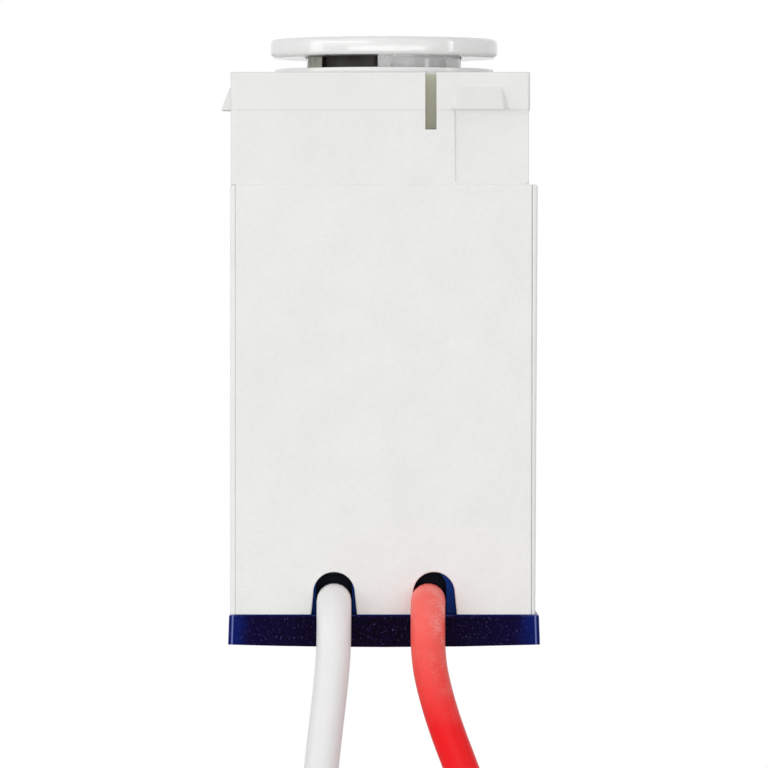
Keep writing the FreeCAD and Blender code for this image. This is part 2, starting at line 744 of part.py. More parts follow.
def switch_body():
    """Square body of the tactile switch, with a round well for the plunger and four feet."""
    body = new_body("switch_body")
    half = S.switch_side / 2
    case = rectangle(body, "Case", "XY_Plane", (-half, half), (-half, half), S.board_level)
    pad(body, case, S.switch_height)
    round_edges(body, "CaseEdges", S.switch_corner, upright)
    pocket(body, circle(body, "Well", S.plunger_diameter / 2 + S.plunger_gap, SWITCH_TOP), S.well_depth)
    reach = half + S.switch_foot_reach
    feet = rectangle(body, "Feet", "XY_Plane", (-reach, reach),
                     (S.switch_foot_place, S.switch_foot_place + S.switch_foot_width), S.board_level)
    mirror(body, "FrontFeet", [pad(body, feet, S.switch_foot_thickness)], True)
    return body


def switch_plunger():
    """Round plunger that the button's post pushes."""
    body = new_body("switch_plunger")
    low, radius, edge = SWITCH_TOP - S.plunger_root, S.plunger_diameter / 2, S.plunger_edge
    corners = [(0, low), (radius, low), (radius, PLUNGER_TOP - edge), (radius - edge, PLUNGER_TOP),
               (0, PLUNGER_TOP)]
    revolve(body, outline(body, "PlungerProfile", "XZ_Plane", corners))
    return body


def header_pins():
    """Row of bent pins that join the two boards."""
    half = S.pin_side / 2
    line = POWER_BOARD_BACK + S.header_side / 2
    low = HEADER_FOOT + S.header_side / 2
    pieces = []
    for number in range(-2, 3):
        middle = S.pin_pitch * number
        across = (middle - half, middle + half)
        pieces.append(block(f"pin_rise_{number + 3}", across, (line - half, line + half),
                            (low - half, S.board_level - S.touch_gap)))
        pieces.append(block(f"pin_run_{number + 3}", across, (POWER_BOARD_FRONT + S.touch_gap, line + half),
                            (low - half, low + half)))
    return unite("header_pins", pieces)


def pin_header(pins):
    """Insulating bar round the pins, in the corner between the boards."""
    half = S.pin_pitch * 2.5
    bar = block("pin_header_bar", (-half, half), (POWER_BOARD_BACK, POWER_BOARD_BACK + S.header_side),
                (HEADER_FOOT, CONTROL_BOARD_FOOT))
    return cut("pin_header", bar, pins)


def control_board(pins):
    """Board behind the button, seated under the ledge in the neck."""
    side, back = CAVITY_SIDE - S.fit_gap, CAVITY_BACK - S.fit_gap
    blank = block("control_board_blank", (-side, side), (-back, back), (CONTROL_BOARD_FOOT, S.board_level))
    return cut("control_board", soften("control_board_plate", blank, S.board_corner, upright), pins)


def power_board(pins, cores):
    """Upright board that stands on the base cap and carries the power parts and the leads' cores."""
    blank = block("power_board_blank", (-POWER_BOARD_SIDE, POWER_BOARD_SIDE),
                  (POWER_BOARD_FRONT, POWER_BOARD_BACK), (FOOT, CONTROL_BOARD_FOOT))
    return cut("power_board", blank, unite("power_board_holes", [pins, *cores]))


def radio_pieces():
    """Small radio board under the control board, and the metal can on it."""
    half, border = S.radio_length / 2, S.radio_border
    near = POWER_BOARD_BACK + S.header_side + S.part_gap
    far = near + S.radio_width
    board_foot = CONTROL_BOARD_FOOT - S.radio_board_thickness
    board = block("radio_board", (-half, half), (near, far), (board_foot, CONTROL_BOARD_FOOT))
    can = block("radio_can_blank", (-half + border, half - border * 3), (near + border, far - border),
                (board_foot - S.radio_can_height, board_foot))
    return board, soften("radio_can", can, S.part_edge, upright)


def transistor(label, middle):
    """Flat power transistor with a metal tab above and two legs below."""
    half = S.transistor_width / 2
    rear = (POWER_BOARD_FRONT - S.tab_thickness, POWER_BOARD_FRONT)
    pieces = [block(f"{label}_case", (middle - half, middle + half), (TRANSISTOR_FACE, POWER_BOARD_FRONT),
                    (TRANSISTOR_FOOT, -S.transistor_drop)),
              block(f"{label}_tab", (middle - half * 0.8, middle + half * 0.8), rear,
                    (-S.transistor_drop, -S.transistor_drop + S.tab_length))]
    for side, sign in (("left", -1), ("right", 1)):
        leg = middle + half * 0.7 * sign
        pieces.append(block(f"{label}_{side}_leg", (leg - S.leg_width / 2, leg + S.leg_width / 2), rear,
                            (TRANSISTOR_FOOT - S.leg_length, TRANSISTOR_FOOT)))
    return unite(label, pieces)


def thermal_pad():
    side = S.spreader_width / 2 - S.pad_border
    return block("thermal_pad", (-side, side), (PAD_FACE, TRANSISTOR_FACE),
                 (TRANSISTOR_FOOT - S.pad_border, -S.transistor_drop + S.pad_border))


def heat_spreader():
    """Metal plate that spreads the transistors' heat behind the front panel."""
    side, top = S.spreader_width / 2, -S.spreader_drop
    plate = block("heat_spreader_blank", (-side, side), (PAD_FACE - S.spreader_thickness, PAD_FACE),
                  (top - S.spreader_height, top))
    return soften("heat_spreader", plate, S.spreader_corner,
                  lambda e: e.BoundBox.YLength > S.spreader_thickness.value - 1e-3
                  and e.BoundBox.XLength < 1e-3 and e.BoundBox.ZLength < 1e-3)


def board_parts():
    """The parts that stand on the back of the power board."""
    left, right = -PARTS_SIDE, PARTS_SIDE
    rear = POWER_BOARD_BACK
    box = block("film_capacitor_blank", (left, right - S.varistor_thickness - S.film_capacitor_gap),
                (rear, rear + S.film_capacitor_height), (PARTS_TOP - S.film_capacitor_width, PARTS_TOP))
    film_capacitor = soften("film_capacitor", box, S.part_edge,
                            lambda e: e.BoundBox.YLength > S.film_capacitor_height.value - 1e-3)

    disc, thickness = S.varistor_diameter / 2, S.varistor_thickness
    disc_depth, disc_level = rear + S.varistor_leg + disc, SECOND_ROW + disc
    body = rod("varistor_disc", disc, thickness, (right - thickness, disc_depth, disc_level), ALONG_X)
    near, wire = right - thickness / 2, S.varistor_leg / 2
    legs = []
    for i in (-1, 1):
        level = disc_level + disc * 0.7 * i
        legs.append(block(f"varistor_leg_{i + 2}", (near - wire, near + wire),
                          (rear, rear + S.varistor_leg + disc), (level - wire, level + wire)))
    varistor = unite("varistor", [body, *legs])

    can = CAN_DIAMETER / 2
    groove = can - S.can_groove
    electrolytic = stack("electrolytic_capacitor", right - can, SECOND_ROW - CHOKE_DIAMETER / 2,
                         [(can, S.can_bead), (groove, S.can_bead / 2), (can, S.can_height)])

    flange = CHOKE_DIAMETER / 2
    post, wound = flange * S.choke_post_share, flange - S.winding_recess
    window = S.choke_height - S.choke_flange * 2
    place = (left + flange, SECOND_ROW - flange)
    core = stack("choke_core", *place, [(flange, S.choke_flange), (post, window), (flange, S.choke_flange)])
    blank = stack("choke_winding_blank", *place, [(post, S.choke_flange), (wound, window)])
    winding = cut("choke_winding", blank, core)

    fuse_case = block("thermal_fuse_blank", (left, left + S.fuse_side), (rear, rear + S.fuse_height),
                      (THIRD_ROW - S.fuse_side, THIRD_ROW))
    fuse = soften("thermal_fuse", fuse_case, S.part_edge,
                  lambda e: e.BoundBox.YLength > S.fuse_height.value - 1e-3)
    side = S.rectifier_side
    slab = block("rectifier_blank", (right - side, right), (rear, rear + S.rectifier_height),
                 (THIRD_ROW - side, THIRD_ROW))
    rectifier = soften("rectifier", slab, S.part_edge / 2,
                       lambda e: e.BoundBox.YLength > S.rectifier_height.value - 1e-3)
    return [film_capacitor, varistor, electrolytic, core, winding, fuse, rectifier]


def lead_core(label, across):
    """Bare copper core that runs from the end of a lead's insulation through the power board."""
    radius = S.core_diameter / 2
    reach = S.lead_board_gap + S.board_thickness + S.core_stand
    core = rod(f"{label}_wire", radius, reach, (across, LEAD_START, LEAD_LEVEL))
    joint = new_object("Part::Cone", f"{label}_joint",
                       {"Placement": Placement(Vector(), ALONG_Y), "Radius1": S.solder_diameter / 2,
                        "Radius2": radius, "Height": S.solder_height, "Placement.Base.x": across,
                        "Placement.Base.y": POWER_BOARD_BACK, "Placement.Base.z": LEAD_LEVEL})
    return unite(label, [core, joint])


def lead_room():
    """The space that the two leads take up inside the housing, with a clearance."""
    radius = S.lead_diameter / 2 + S.lead_gap
    rooms = []
    for label, across in (("white", WHITE_LEAD), ("red", RED_LEAD)):
        rooms.append(rod(f"{label}_lead_room", radius, S.housing_depth / 4,
                         (across, LEAD_START, LEAD_LEVEL), TO_THE_FRONT))
    return unite("lead_room", rooms)


def base_cap(room, screw):
    """Base with a slightly domed underside. Its raised wall plugs into the housing round the leads."""
    body = new_body("base_cap_blank")
    side, low = SIDE + S.base_overhang, FOOT - S.base_height
    foot_side = side + S.base_flare
    depth = S.housing_depth + S.base_overhang * 3
    corners = [(-side, FOOT), (-foot_side, low), (foot_side, low), (side, FOOT)]
    pad(body, outline(body, "Flange", "XZ_Plane", corners), depth, both=True)

    radius = (foot_side * foot_side + S.base_crown * S.base_crown) / (S.base_crown * 2)
    left, right, bottom = (-foot_side, low), (foot_side, low), (0, low - S.base_crown)
    dome = new_sketch(body, "Dome", "XZ_Plane")
    dome.addGeometry(Part.Arc(flat(left), flat(bottom), flat(right)), False)
    dome.addGeometry(Part.LineSegment(flat(left), flat(right)), False)
    join(dome, (0, 1, 1, 1), (0, 2, 1, 2))
    pin(dome, 1, 1, left)
    pin(dome, 1, 2, right)
    measure(dome, radius, "Radius", 0)
    pad(body, dome, depth, both=True)
    round_edges(body, "BaseCorners", S.base_corner, upright)
    bevel_edges(body, "BaseRim", S.base_edge, lambda e: lies_at(e, "Z", FOOT))

    wall = rectangle(body, "InsertOutside", "XY_Plane", (-PLUG_SIDE, PLUG_SIDE), (-PLUG_BACK, PLUG_BACK),
                     FOOT)
    pad(body, wall, S.insert_height)
    hollow_side, hollow_back = PLUG_SIDE - S.insert_wall, PLUG_BACK - S.insert_wall
    hollow = rectangle(body, "InsertInside", "XY_Plane", (-hollow_side, hollow_side),
                       (-hollow_back, hollow_back), FOOT)
    pocket(body, hollow, S.insert_height, reverse=True)
    tunnels = new_sketch(body, "Tunnels", "XZ_Plane", PLUG_BACK)
    for middle in (WHITE_LEAD, RED_LEAD):
        half = S.tunnel_width / 2
        add_arch(tunnels, middle, half, half, FOOT, FOOT + S.tunnel_height)
    pocket(body, tunnels, S.insert_wall)
    return cut("base_cap", body, unite("base_cap_holes", [room, screw]))


def clamp_screw():
    """Screw that holds the clamp down on the base cap."""
    middle = CLAMP_FRONT + S.clamp_thickness / 2
    head = rod("clamp_screw_head", S.screw_head_diameter / 2, S.screw_head_height, (0, middle, CLAMP_TOP),
               ALONG_Z)
    shank = rod("clamp_screw_shank", S.screw_diameter / 2, S.clamp_height + S.screw_grip,
                (0, middle, FOOT - S.screw_grip), ALONG_Z)
    return unite("clamp_screw", [head, shank])


def lead_clamp(room, screw):
    """Bar that holds both leads down in the base cap."""
    half = S.lead_spacing / 2 + S.clamp_end
    bar = block("lead_clamp_bar", (-half, half), (CLAMP_FRONT, CLAMP_FRONT + S.clamp_thickness),
                (FOOT, CLAMP_TOP))
    return cut("lead_clamp", bar, unite("lead_clamp_holes", [room, screw]))


class Route:
    """A lead's middle line, made of straight runs and arcs that are tangent to them."""

    def __init__(self, point, heading):
        self.point = self.start = point
        self.heading = self.first_heading = heading
        self.edges = []
        self.radii = []
        self.length = 0.0

    def run(self, length):
        end = self.point + self.heading * length
        self.edges.append(Part.makeLine(self.point, end))
        self.point = end
        self.length += length

    def turn(self, radius, heading):
        angle = self.heading.getAngle(heading)
        inward = (heading - self.heading * math.cos(angle)) * (1 / math.sin(angle))
        middle, end = (self.point + self.heading * (radius * math.sin(part))
                       + inward * (radius - radius * math.cos(part)) for part in (angle / 2, angle))
        self.edges.append(Part.Arc(self.point, middle, end).toShape())
        self.point, self.heading = end, heading
        self.radii.append(radius)
        self.length += radius * angle

    def tube(self, label, diameter):
        section = Part.Wire(Part.makeCircle(diameter / 2, self.start, self.first_heading))
        shape = Part.Wire(self.edges).makePipe(Part.Face(section))
        expected = math.pi * diameter ** 2 / 4 * self.length
        print(f"{label}: length {self.length:.2f}, radii {self.radii}, ends at"
              f" ({self.point.x:.3f}, {self.point.y:.3f}, {self.point.z:.3f}),"
              f" volume {shape.Volume:.2f} of {expected:.2f}")
        if abs(shape.Volume - expected) > expected * 0.01:
            raise RuntimeError(f"{label} isn't a plain tube")
        return new_object("Part::Feature", label, {"Shape": shape})


DOWN = Vector(0, 0, -1)


def lead(colour, place, tilt, sway_radius, slant, return_radius):
    """A lead that leaves the front, bends down over the base cap and then hangs, and its bare tip."""
    swung = math.radians(tilt)
    route = Route(Vector(place, LEAD_START.value, LEAD_LEVEL.value), Vector(0, -1, 0))
    route.run((LEAD_START - FRONT).value)
    route.turn(S.lead_bend.value, DOWN)
    route.turn(sway_radius, Vector(math.sin(swung), 0, -math.cos(swung)))
    route.run(slant)
    route.turn(return_radius, DOWN)
    route.run(S.lead_length.value - route.length)
    tip = Route(route.point, DOWN)
    tip.run(S.tip_length.value)
    return (route.tube(f"{colour}_lead", S.lead_diameter.value),
            tip.tube(f"{colour}_lead_tip", S.core_diameter.value))


def leads():
    white = lead("white", WHITE_LEAD.value, -S.white_lead_tilt.value,
                 S.white_lead_sway_radius.value, S.white_lead_slant.value, S.white_lead_return_radius.value)
    red = lead("red", RED_LEAD.value, S.red_lead_tilt.value,
               S.red_lead_sway_radius.value, S.red_lead_slant.value, S.red_lead_return_radius.value)
    return [*white, *red]


def check_state():
    failed = [o.Label for o in doc.Objects if {"Invalid", "Error"} & set(o.State)]
    if failed:
        raise RuntimeError(f"these objects failed: {failed}")
    loose = [o.Label for o in doc.Objects
             if o.TypeId == "Sketcher::SketchObject" and not o.FullyConstrained]
    if loose:
        raise RuntimeError(f"these sketches aren't fully constrained: {loose}")


def export(thing):
    shape = thing.Shape
    if shape.isNull() or not shape.isValid() or not shape.Solids:
        raise RuntimeError(f"{thing.Label} has no valid solid")
    shape.exportStep(f"parts/{thing.Label}.step")
    box = shape.BoundBox
    print(f"{thing.Label}: {len(shape.Solids)} solid(s), {shape.Volume:.2f} mm3,"
          f" x {box.XMin:.2f}..{box.XMax:.2f}, y {box.YMin:.2f}..{box.YMax:.2f},"
          f" z {box.ZMin:.2f}..{box.ZMax:.2f}")


pins = header_pins()
cores = [lead_core("white_lead_core", WHITE_LEAD), lead_core("red_lead_core", RED_LEAD)]
room = lead_room()
screw = clamp_screw()
pieces = [
    rear_shell(), front_panel(), neck_housing(), base_cap(room, screw),
    button_collar(), button_cap(), light_guide(), return_spring(),
    switch_body(), switch_plunger(), indicator_lamp(),
    control_board(pins), power_board(pins, cores), pin_header(pins), pins, *radio_pieces(),
    transistor("left_transistor", -S.transistor_spacing / 2),
    transistor("right_transistor", S.transistor_spacing / 2),
    thermal_pad(), heat_spreader(), *board_parts(),
    lead_clamp(room, screw), screw, *cores, *leads(),
]
doc.recompute()
check_state()
os.makedirs("parts", exist_ok=True)
for piece in pieces:
    export(piece)
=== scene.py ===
import json
import math

import bmesh
import bpy
from mathutils import Matrix, Vector


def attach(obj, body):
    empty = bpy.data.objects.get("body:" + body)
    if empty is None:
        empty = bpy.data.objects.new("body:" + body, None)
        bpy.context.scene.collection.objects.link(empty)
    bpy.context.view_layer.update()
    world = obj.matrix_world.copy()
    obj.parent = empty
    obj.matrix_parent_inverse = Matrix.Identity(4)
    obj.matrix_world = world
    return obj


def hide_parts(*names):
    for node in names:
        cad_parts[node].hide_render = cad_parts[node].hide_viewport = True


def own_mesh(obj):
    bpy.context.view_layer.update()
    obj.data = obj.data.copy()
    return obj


# A snap-in dimmer switch with a round push button, a blue base and two flying leads.
# Places are written in millimetres, as in the part's source, and turned to metres here.

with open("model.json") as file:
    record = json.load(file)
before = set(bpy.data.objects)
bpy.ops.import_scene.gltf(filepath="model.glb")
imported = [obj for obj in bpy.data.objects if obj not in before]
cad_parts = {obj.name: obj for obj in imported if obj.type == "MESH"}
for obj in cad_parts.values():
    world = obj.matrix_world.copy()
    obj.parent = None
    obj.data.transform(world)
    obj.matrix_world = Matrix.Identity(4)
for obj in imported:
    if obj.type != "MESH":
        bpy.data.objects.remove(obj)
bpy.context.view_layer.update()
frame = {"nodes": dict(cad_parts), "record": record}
bpy.context.scene.view_settings.view_transform = "Standard"
MM = 0.001


def metres(*place):
    """A place in millimetres as one in metres."""
    return Vector(place) * MM


# Camera, level with the middle of the housing and square to its front

CAMERA_DISTANCE, CAMERA_HEIGHT = 850, -15.96

camera_data = bpy.data.cameras.new("Camera")
camera_data.sensor_width = 36
camera_data.lens = 491.0
camera_data.clip_start = 0.05
camera_data.clip_end = 20
camera = bpy.data.objects.new("Camera", camera_data)
camera.location = metres(0, -CAMERA_DISTANCE, CAMERA_HEIGHT)
camera.rotation_euler = (math.radians(90), 0, 0)
bpy.context.scene.collection.objects.link(camera)
bpy.context.scene.camera = camera

# Leads

LEAD_DIAMETER, WHITE_PLACE, RED_PLACE = 2.76, -4.0, 3.55
WHITE_ROUTE = [(-4.0, -7.5, -33.3), (-4.0, -11.1, -33.3), (-4.0, -13.5, -33.3),
               (-3.99, -15.2, -35.0), (-4.02, -15.2, -37.4), (-4.22, -15.2, -39.8),
               (-4.9, -15.2, -45.6), (-5.5, -15.2, -51.2), (-5.557, -15.2, -57.0),
               (-5.557, -15.2, -126.765)]
RED_ROUTE = [(3.55, -7.5, -33.3), (3.55, -11.1, -33.3), (3.52, -13.5, -33.3),
             (3.49, -15.2, -35.0), (3.5, -15.2, -37.2), (3.78, -15.2, -39.4),
             (4.75, -15.2, -42.9), (6.4, -15.2, -47.2), (8.05, -15.2, -51.7),
             (8.99, -15.2, -56.5), (8.99, -15.2, -61.5), (8.99, -15.2, -126.052)]


def lead(name, route):
    """A round lead that follows its route as one smooth line."""
    line = bpy.data.curves.new(name, "CURVE")
    line.dimensions = "3D"
    spline = line.splines.new("NURBS")
    spline.points.add(len(route) - 1)
    for point, place in zip(spline.points, route):
        point.co = (*metres(*place), 1)
        point.radius = LEAD_DIAMETER / 2 * MM
    spline.order_u = 3
    spline.use_endpoint_u = True
    spline.resolution_u = 16
    line.bevel_depth = 1
    line.bevel_resolution = 7
    line.use_fill_caps = True
    piece = bpy.data.objects.new(name, line)
    bpy.context.scene.collection.objects.link(piece)
    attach(piece, "housing")
    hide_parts(name)
    return piece


white_lead = lead("white_lead", WHITE_ROUTE)
red_lead = lead("red_lead", RED_ROUTE)
white_lead.name, red_lead.name = "white_flying_lead", "red_flying_lead"


# Modelling by hand: each piece starts from a primitive, is shaped in edit mode and then bevelled

def pick(piece):
    """Selects one piece alone and makes it the active one."""
    bpy.ops.object.select_all(action="DESELECT")
    piece.select_set(True)
    bpy.context.view_layer.objects.active = piece


def begin_edit(piece):
    """Opens a piece alone in edit mode with nothing selected."""
    pick(piece)
    bpy.ops.object.mode_set(mode="EDIT")
    bpy.ops.mesh.select_all(action="DESELECT")


def end_edit():
    bpy.ops.object.mode_set(mode="OBJECT")


def choose(piece, kind, test):
    """Selects the faces, edges or vertices whose places pass a test, in millimetres."""
    bpy.ops.mesh.select_mode(type=kind)
    bpy.ops.mesh.select_all(action="DESELECT")
    mesh = bmesh.from_edit_mesh(piece.data)
    mesh.normal_update()
    for item in {"FACE": mesh.faces, "EDGE": mesh.edges, "VERT": mesh.verts}[kind]:
        if kind == "FACE":
            found = test(item.calc_center_median() / MM)
        elif kind == "EDGE":
            found = test(item.verts[0].co / MM, item.verts[1].co / MM)
        else:
            found = test(item.co / MM)
        item.select_set(found)
    mesh.select_flush_mode()
    bmesh.update_edit_mesh(piece.data)


def near(value, where):
    """True within a hundredth of a millimetre."""
    return abs(value - where) < 0.01


def edge_at(axis, where, rise=0):
    """A test for edges with both ends at one place on an axis, and a least rise from end to end."""
    def test(a, b):
        both = near(getattr(a, axis), where) and near(getattr(b, axis), where)
        return both and abs(a.z - b.z) >= rise
    return test


def settle(name):
    """Names the newest primitive and moves its place into its mesh."""
    piece = bpy.context.object
    piece.name = piece.data.name = name
    bpy.ops.object.transform_apply(location=True, rotation=True, scale=True)
    return piece


def block(name, low, high):
    """A block between two corners."""
    low, high = metres(*low), metres(*high)
    bpy.ops.object.select_all(action="DESELECT")
    bpy.ops.mesh.primitive_cube_add(size=1, location=(low + high) / 2, scale=high - low)
    return settle(name)


def disc(name, radius, low, high, sides=128):
    """A round blank that stands on the button's axis, from one height to another."""
    bpy.ops.object.select_all(action="DESELECT")
    bpy.ops.mesh.primitive_cylinder_add(vertices=sides, radius=radius * MM, depth=(high - low) * MM,
                                        location=metres(0, 0, (low + high) / 2))
    return settle(name)


def rod(name, radius, front, rear, middle, sides):
    """A round blank that runs front to back, its middle at a place across and a height."""
    across, height = middle
    bpy.ops.object.select_all(action="DESELECT")
    bpy.ops.mesh.primitive_cylinder_add(vertices=sides, radius=radius * MM,
                                        depth=(rear - front) * MM,
                                        location=metres(across, (front + rear) / 2, height),
                                        rotation=(math.radians(90), 0, 0))
    return settle(name)


def sector(name, inner, outer, low, high, start, end):
    """A piece of a thick ring about Z, spun from a small upright face, from one angle to another."""
    bpy.ops.object.select_all(action="DESELECT")
    bpy.ops.mesh.primitive_plane_add(size=1, rotation=(math.radians(90), 0, 0),
                                     location=metres((inner + outer) / 2, 0, (low + high) / 2))
    bpy.context.object.scale = ((outer - inner) * MM, (high - low) * MM, 1)
    piece = settle(name)
    piece.data.transform(Matrix.Rotation(math.radians(start), 4, "Z"))
    begin_edit(piece)
    bpy.ops.mesh.select_all(action="SELECT")
    bpy.ops.mesh.spin(steps=max(4, round((end - start) / 3)), angle=math.radians(end - start),
                      center=(0, 0, 0), axis=(0, 0, -1))
    bpy.ops.mesh.select_all(action="SELECT")
    bpy.ops.mesh.remove_doubles(threshold=1e-7)
    bpy.ops.mesh.normals_make_consistent(inside=False)
    end_edit()
    return piece


def modify(piece, kind, **settings):
    """Adds a modifier to a piece and applies it."""
    pick(piece)
    bpy.ops.object.modifier_add(type=kind)
    modifier = piece.modifiers[-1]
    for name, value in settings.items():
        setattr(modifier, name, value)
    bpy.ops.object.modifier_apply(modifier=modifier.name)


def combine(piece, way, tools):
    """Cuts tools out of a piece, or fuses them to it, and clears them away. A tool reaches a little
    past what it cuts, so that no two faces lie on each other."""
    for tool in tools:
        modify(piece, "BOOLEAN", operation=way, object=tool, solver="EXACT")
        bpy.data.objects.remove(tool)


def bevel(piece, width, segments, test):
    """Rounds the edges that pass a test of their two ends."""
    begin_edit(piece)
    choose(piece, "EDGE", test)
    bpy.ops.mesh.bevel(offset=width * MM, offset_type="OFFSET", segments=segments, profile=0.5,
                       clamp_overlap=False)
    end_edit()


def clean(piece):
    """Merges doubled points and the flat faces that cutting has split."""
    begin_edit(piece)
    bpy.ops.mesh.select_all(action="SELECT")
    bpy.ops.mesh.remove_doubles(threshold=2e-6)
    bpy.ops.mesh.dissolve_limited(angle_limit=math.radians(0.5))
    bpy.ops.mesh.normals_make_consistent(inside=False)
    end_edit()


def finish(piece, body, node, edge):
    """Softens the edges that are left, smooths the faces and puts the piece in its node's place."""
    clean(piece)
    modify(piece, "BEVEL", width=edge * MM, segments=2, limit_method="ANGLE",
           angle_limit=math.radians(30), harden_normals=False)
    pick(piece)
    bpy.ops.object.shade_smooth_by_angle(angle=math.radians(50))
    modify(piece, "WEIGHTED_NORMAL", keep_sharp=True)
    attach(piece, body)
    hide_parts(node)
    return piece


# Lower housing: a U-shaped shell and the front panel with its two lead openings

# Half width, front face, foot, thickness of the walls, and half width of what plugs into them
SIDE, FRONT, FOOT, WALL, PLUG = 12.3, -12.3, -34.4, 1.3, 10.9
# Width of the shell's two front lips, and the gap between a lip and the panel
LIP, SEAM = 0.4, 0.015
PANEL_SIDE = SIDE - LIP - SEAM
# How far the right wall and the seam beside it come in at the foot
RIGHT_LEAN, SEAM_LEAN = 0.2, 0.08
# An edge that rises more than this runs up the walls
TALL = 9
# The openings' half width at the head and at the foot, their crown, and how far out they stand
ARCH_HALF, ARCH_FOOT_HALF, ARCH_CROWN, ARCH_PLACE = 1.66, 1.86, -31.0, 4.0


def lean(piece, amount):
    """Moves the right-hand side of a piece in by an amount at its foot."""
    begin_edit(piece)
    choose(piece, "VERT", lambda place: place.z < FOOT + 0.01 and place.x > 0)
    bpy.ops.transform.translate(value=metres(-amount, 0, 0))
    end_edit()


def rear_shell():
    """Left, back and right walls, the right one leaning in a little, with lips beside the panel."""
    shell = block("rear_housing_shell", (-SIDE, FRONT, FOOT), (SIDE, -FRONT, 0))
    lean(shell, RIGHT_LEAN)
    front_corner = edge_at("y", FRONT, rise=TALL)
    bevel(shell, 0.6, 6, edge_at("y", -FRONT, rise=TALL))
    bevel(shell, 0.24, 4, front_corner)
    # The top is rounded less than the corners, because a wider rounding would fold them
    bevel(shell, 0.22, 4, edge_at("z", 0))
    inside, back, lip_side = SIDE - WALL, -FRONT - WALL, SIDE - LIP
    room = block("room", (-inside, FRONT - 2, FOOT - 1), (inside, back, 1))
    seat = block("seat", (-lip_side, FRONT - 2, FOOT - 1), (lip_side, FRONT + WALL, 1))
    lean(seat, SEAM_LEAN)
    combine(shell, "DIFFERENCE", [room, seat])
    bevel(shell, 0.1, 3, lambda a, b: front_corner(a, b) and a.x > 0
          and max(a.x, b.x) < lip_side + 0.05)
    return finish(shell, "housing", "rear_shell", edge=0.03)


def arch_cutter(name, middle, half, foot_half, crown, low, front, rear):
    """A round-headed tool that runs front to back, its legs spread towards the foot."""
    head = rod(name, half, front, rear, middle=(middle, crown - half), sides=48)
    legs = block("legs", (middle - half, front, low), (middle + half, rear, crown - half))
    begin_edit(legs)
    choose(legs, "FACE", lambda place: near(place.z, low))
    bpy.ops.transform.resize(value=(foot_half / half, 1, 1))
    end_edit()
    combine(head, "UNION", [legs])
    return head


def front_panel():
    """Flat front wall, rounded along its right-hand seam and round its two openings."""
    panel = block("front_wall", (-PANEL_SIDE, FRONT, FOOT), (PANEL_SIDE, FRONT + WALL, 0))
    lean(panel, SEAM_LEAN)
    at_front, seam = edge_at("y", FRONT), edge_at("y", FRONT, rise=TALL)
    bevel(panel, 0.17, 4, lambda a, b: seam(a, b) and a.x > 0)
    arches = [arch_cutter("arch", middle, ARCH_HALF, ARCH_FOOT_HALF, ARCH_CROWN, FOOT - 0.4,
                          FRONT - 1, FRONT + WALL + 1) for middle in (-ARCH_PLACE, ARCH_PLACE)]
    combine(panel, "DIFFERENCE", arches)
    clean(panel)
    bevel(panel, 0.1, 3, lambda a, b: at_front(a, b) and max(abs(a.x), abs(b.x)) < 6
          and max(a.z, b.z) > FOOT + 0.1)
    return finish(panel, "housing", "front_panel", edge=0.03)


# Neck with its band, slotted tongues and catches

NECK_LEFT, NECK_RIGHT, NECK_FRONT, NECK_TOP = -12.27, 11.59, -12.18, 9.0
# The band round the top, and how far it stands out from the walls
BAND_FOOT, BAND_STEP = 6.0, 0.1
# Each tongue is freed by a slot on its left and a groove behind it, both down to one floor
SLOT, GROOVE, TONGUE_FLOOR = (3.3, 4.2), (10.08, 10.98), 4.4
# Below the band the tongue's face lies back by a shallow step, from this place to the right
STEP_LEFT, STEP_FACE, STEP_FOOT = 5.7, 12.06, 0.2
# The rooms inside: half width below, half width and half depth above, and the sleeve's hole
ROOM, ROOM_DEPTH, SLEEVE_HOLE = 9.9, 9.08, 7.55
# A catch's middle along a wall, counted from the neck's corner, and how far it sinks into the band
CATCH_PLACE, CATCH_SEAT = 3.98, 0.07
# Places outside the neck on any side, and above it
OUTSIDE, ABOVE = 13, 10


def catch(turn, middle):
    """A wedge that stands out 0.78 mm at its foot and thins away upwards, with sloped flanks."""
    root, reach, top_reach, height = -0.2, 0.78, 0.1, 1.8
    half_root, half_face, half_top_root, half_top_face = 2.61, 1.97, 2.0, 1.8
    wedge = block("catch", (-half_root, root, 0), (half_root, reach, height))
    begin_edit(wedge)
    choose(wedge, "VERT", lambda place: place.y > 0 and place.z < 1)
    bpy.ops.transform.resize(value=(half_face / half_root, 1, 1))
    choose(wedge, "VERT", lambda place: place.y > 0 and place.z > 1)
    bpy.ops.transform.resize(value=(half_top_face / half_root, 1, 1))
    bpy.ops.transform.translate(value=metres(0, top_reach - reach, 0))
    choose(wedge, "VERT", lambda place: place.y < 0 and place.z > 1)
    bpy.ops.transform.resize(value=(half_top_root / half_root, 1, 1))
    end_edit()
    foot = edge_at("z", 0)
    bevel(wedge, 0.1, 3, lambda a, b: a.y > 0 and b.y > 0 and abs(a.z - b.z) > 1)
    bevel(wedge, 0.07, 2, lambda a, b: foot(a, b) and a.y > 0.7 and b.y > 0.7)
    place = Matrix.Translation(metres(*middle)) @ Matrix.Rotation(math.radians(turn), 4, "Z")
    wedge.data.transform(place)
    return wedge


def side_block(name, way, across, outwards, upwards):
    """A block on the front, way -1, or the back, way 1. Its depth is counted outwards."""
    front, rear = sorted(way * depth for depth in outwards)
    return block(name, (across[0], front, upwards[0]), (across[1], rear, upwards[1]))


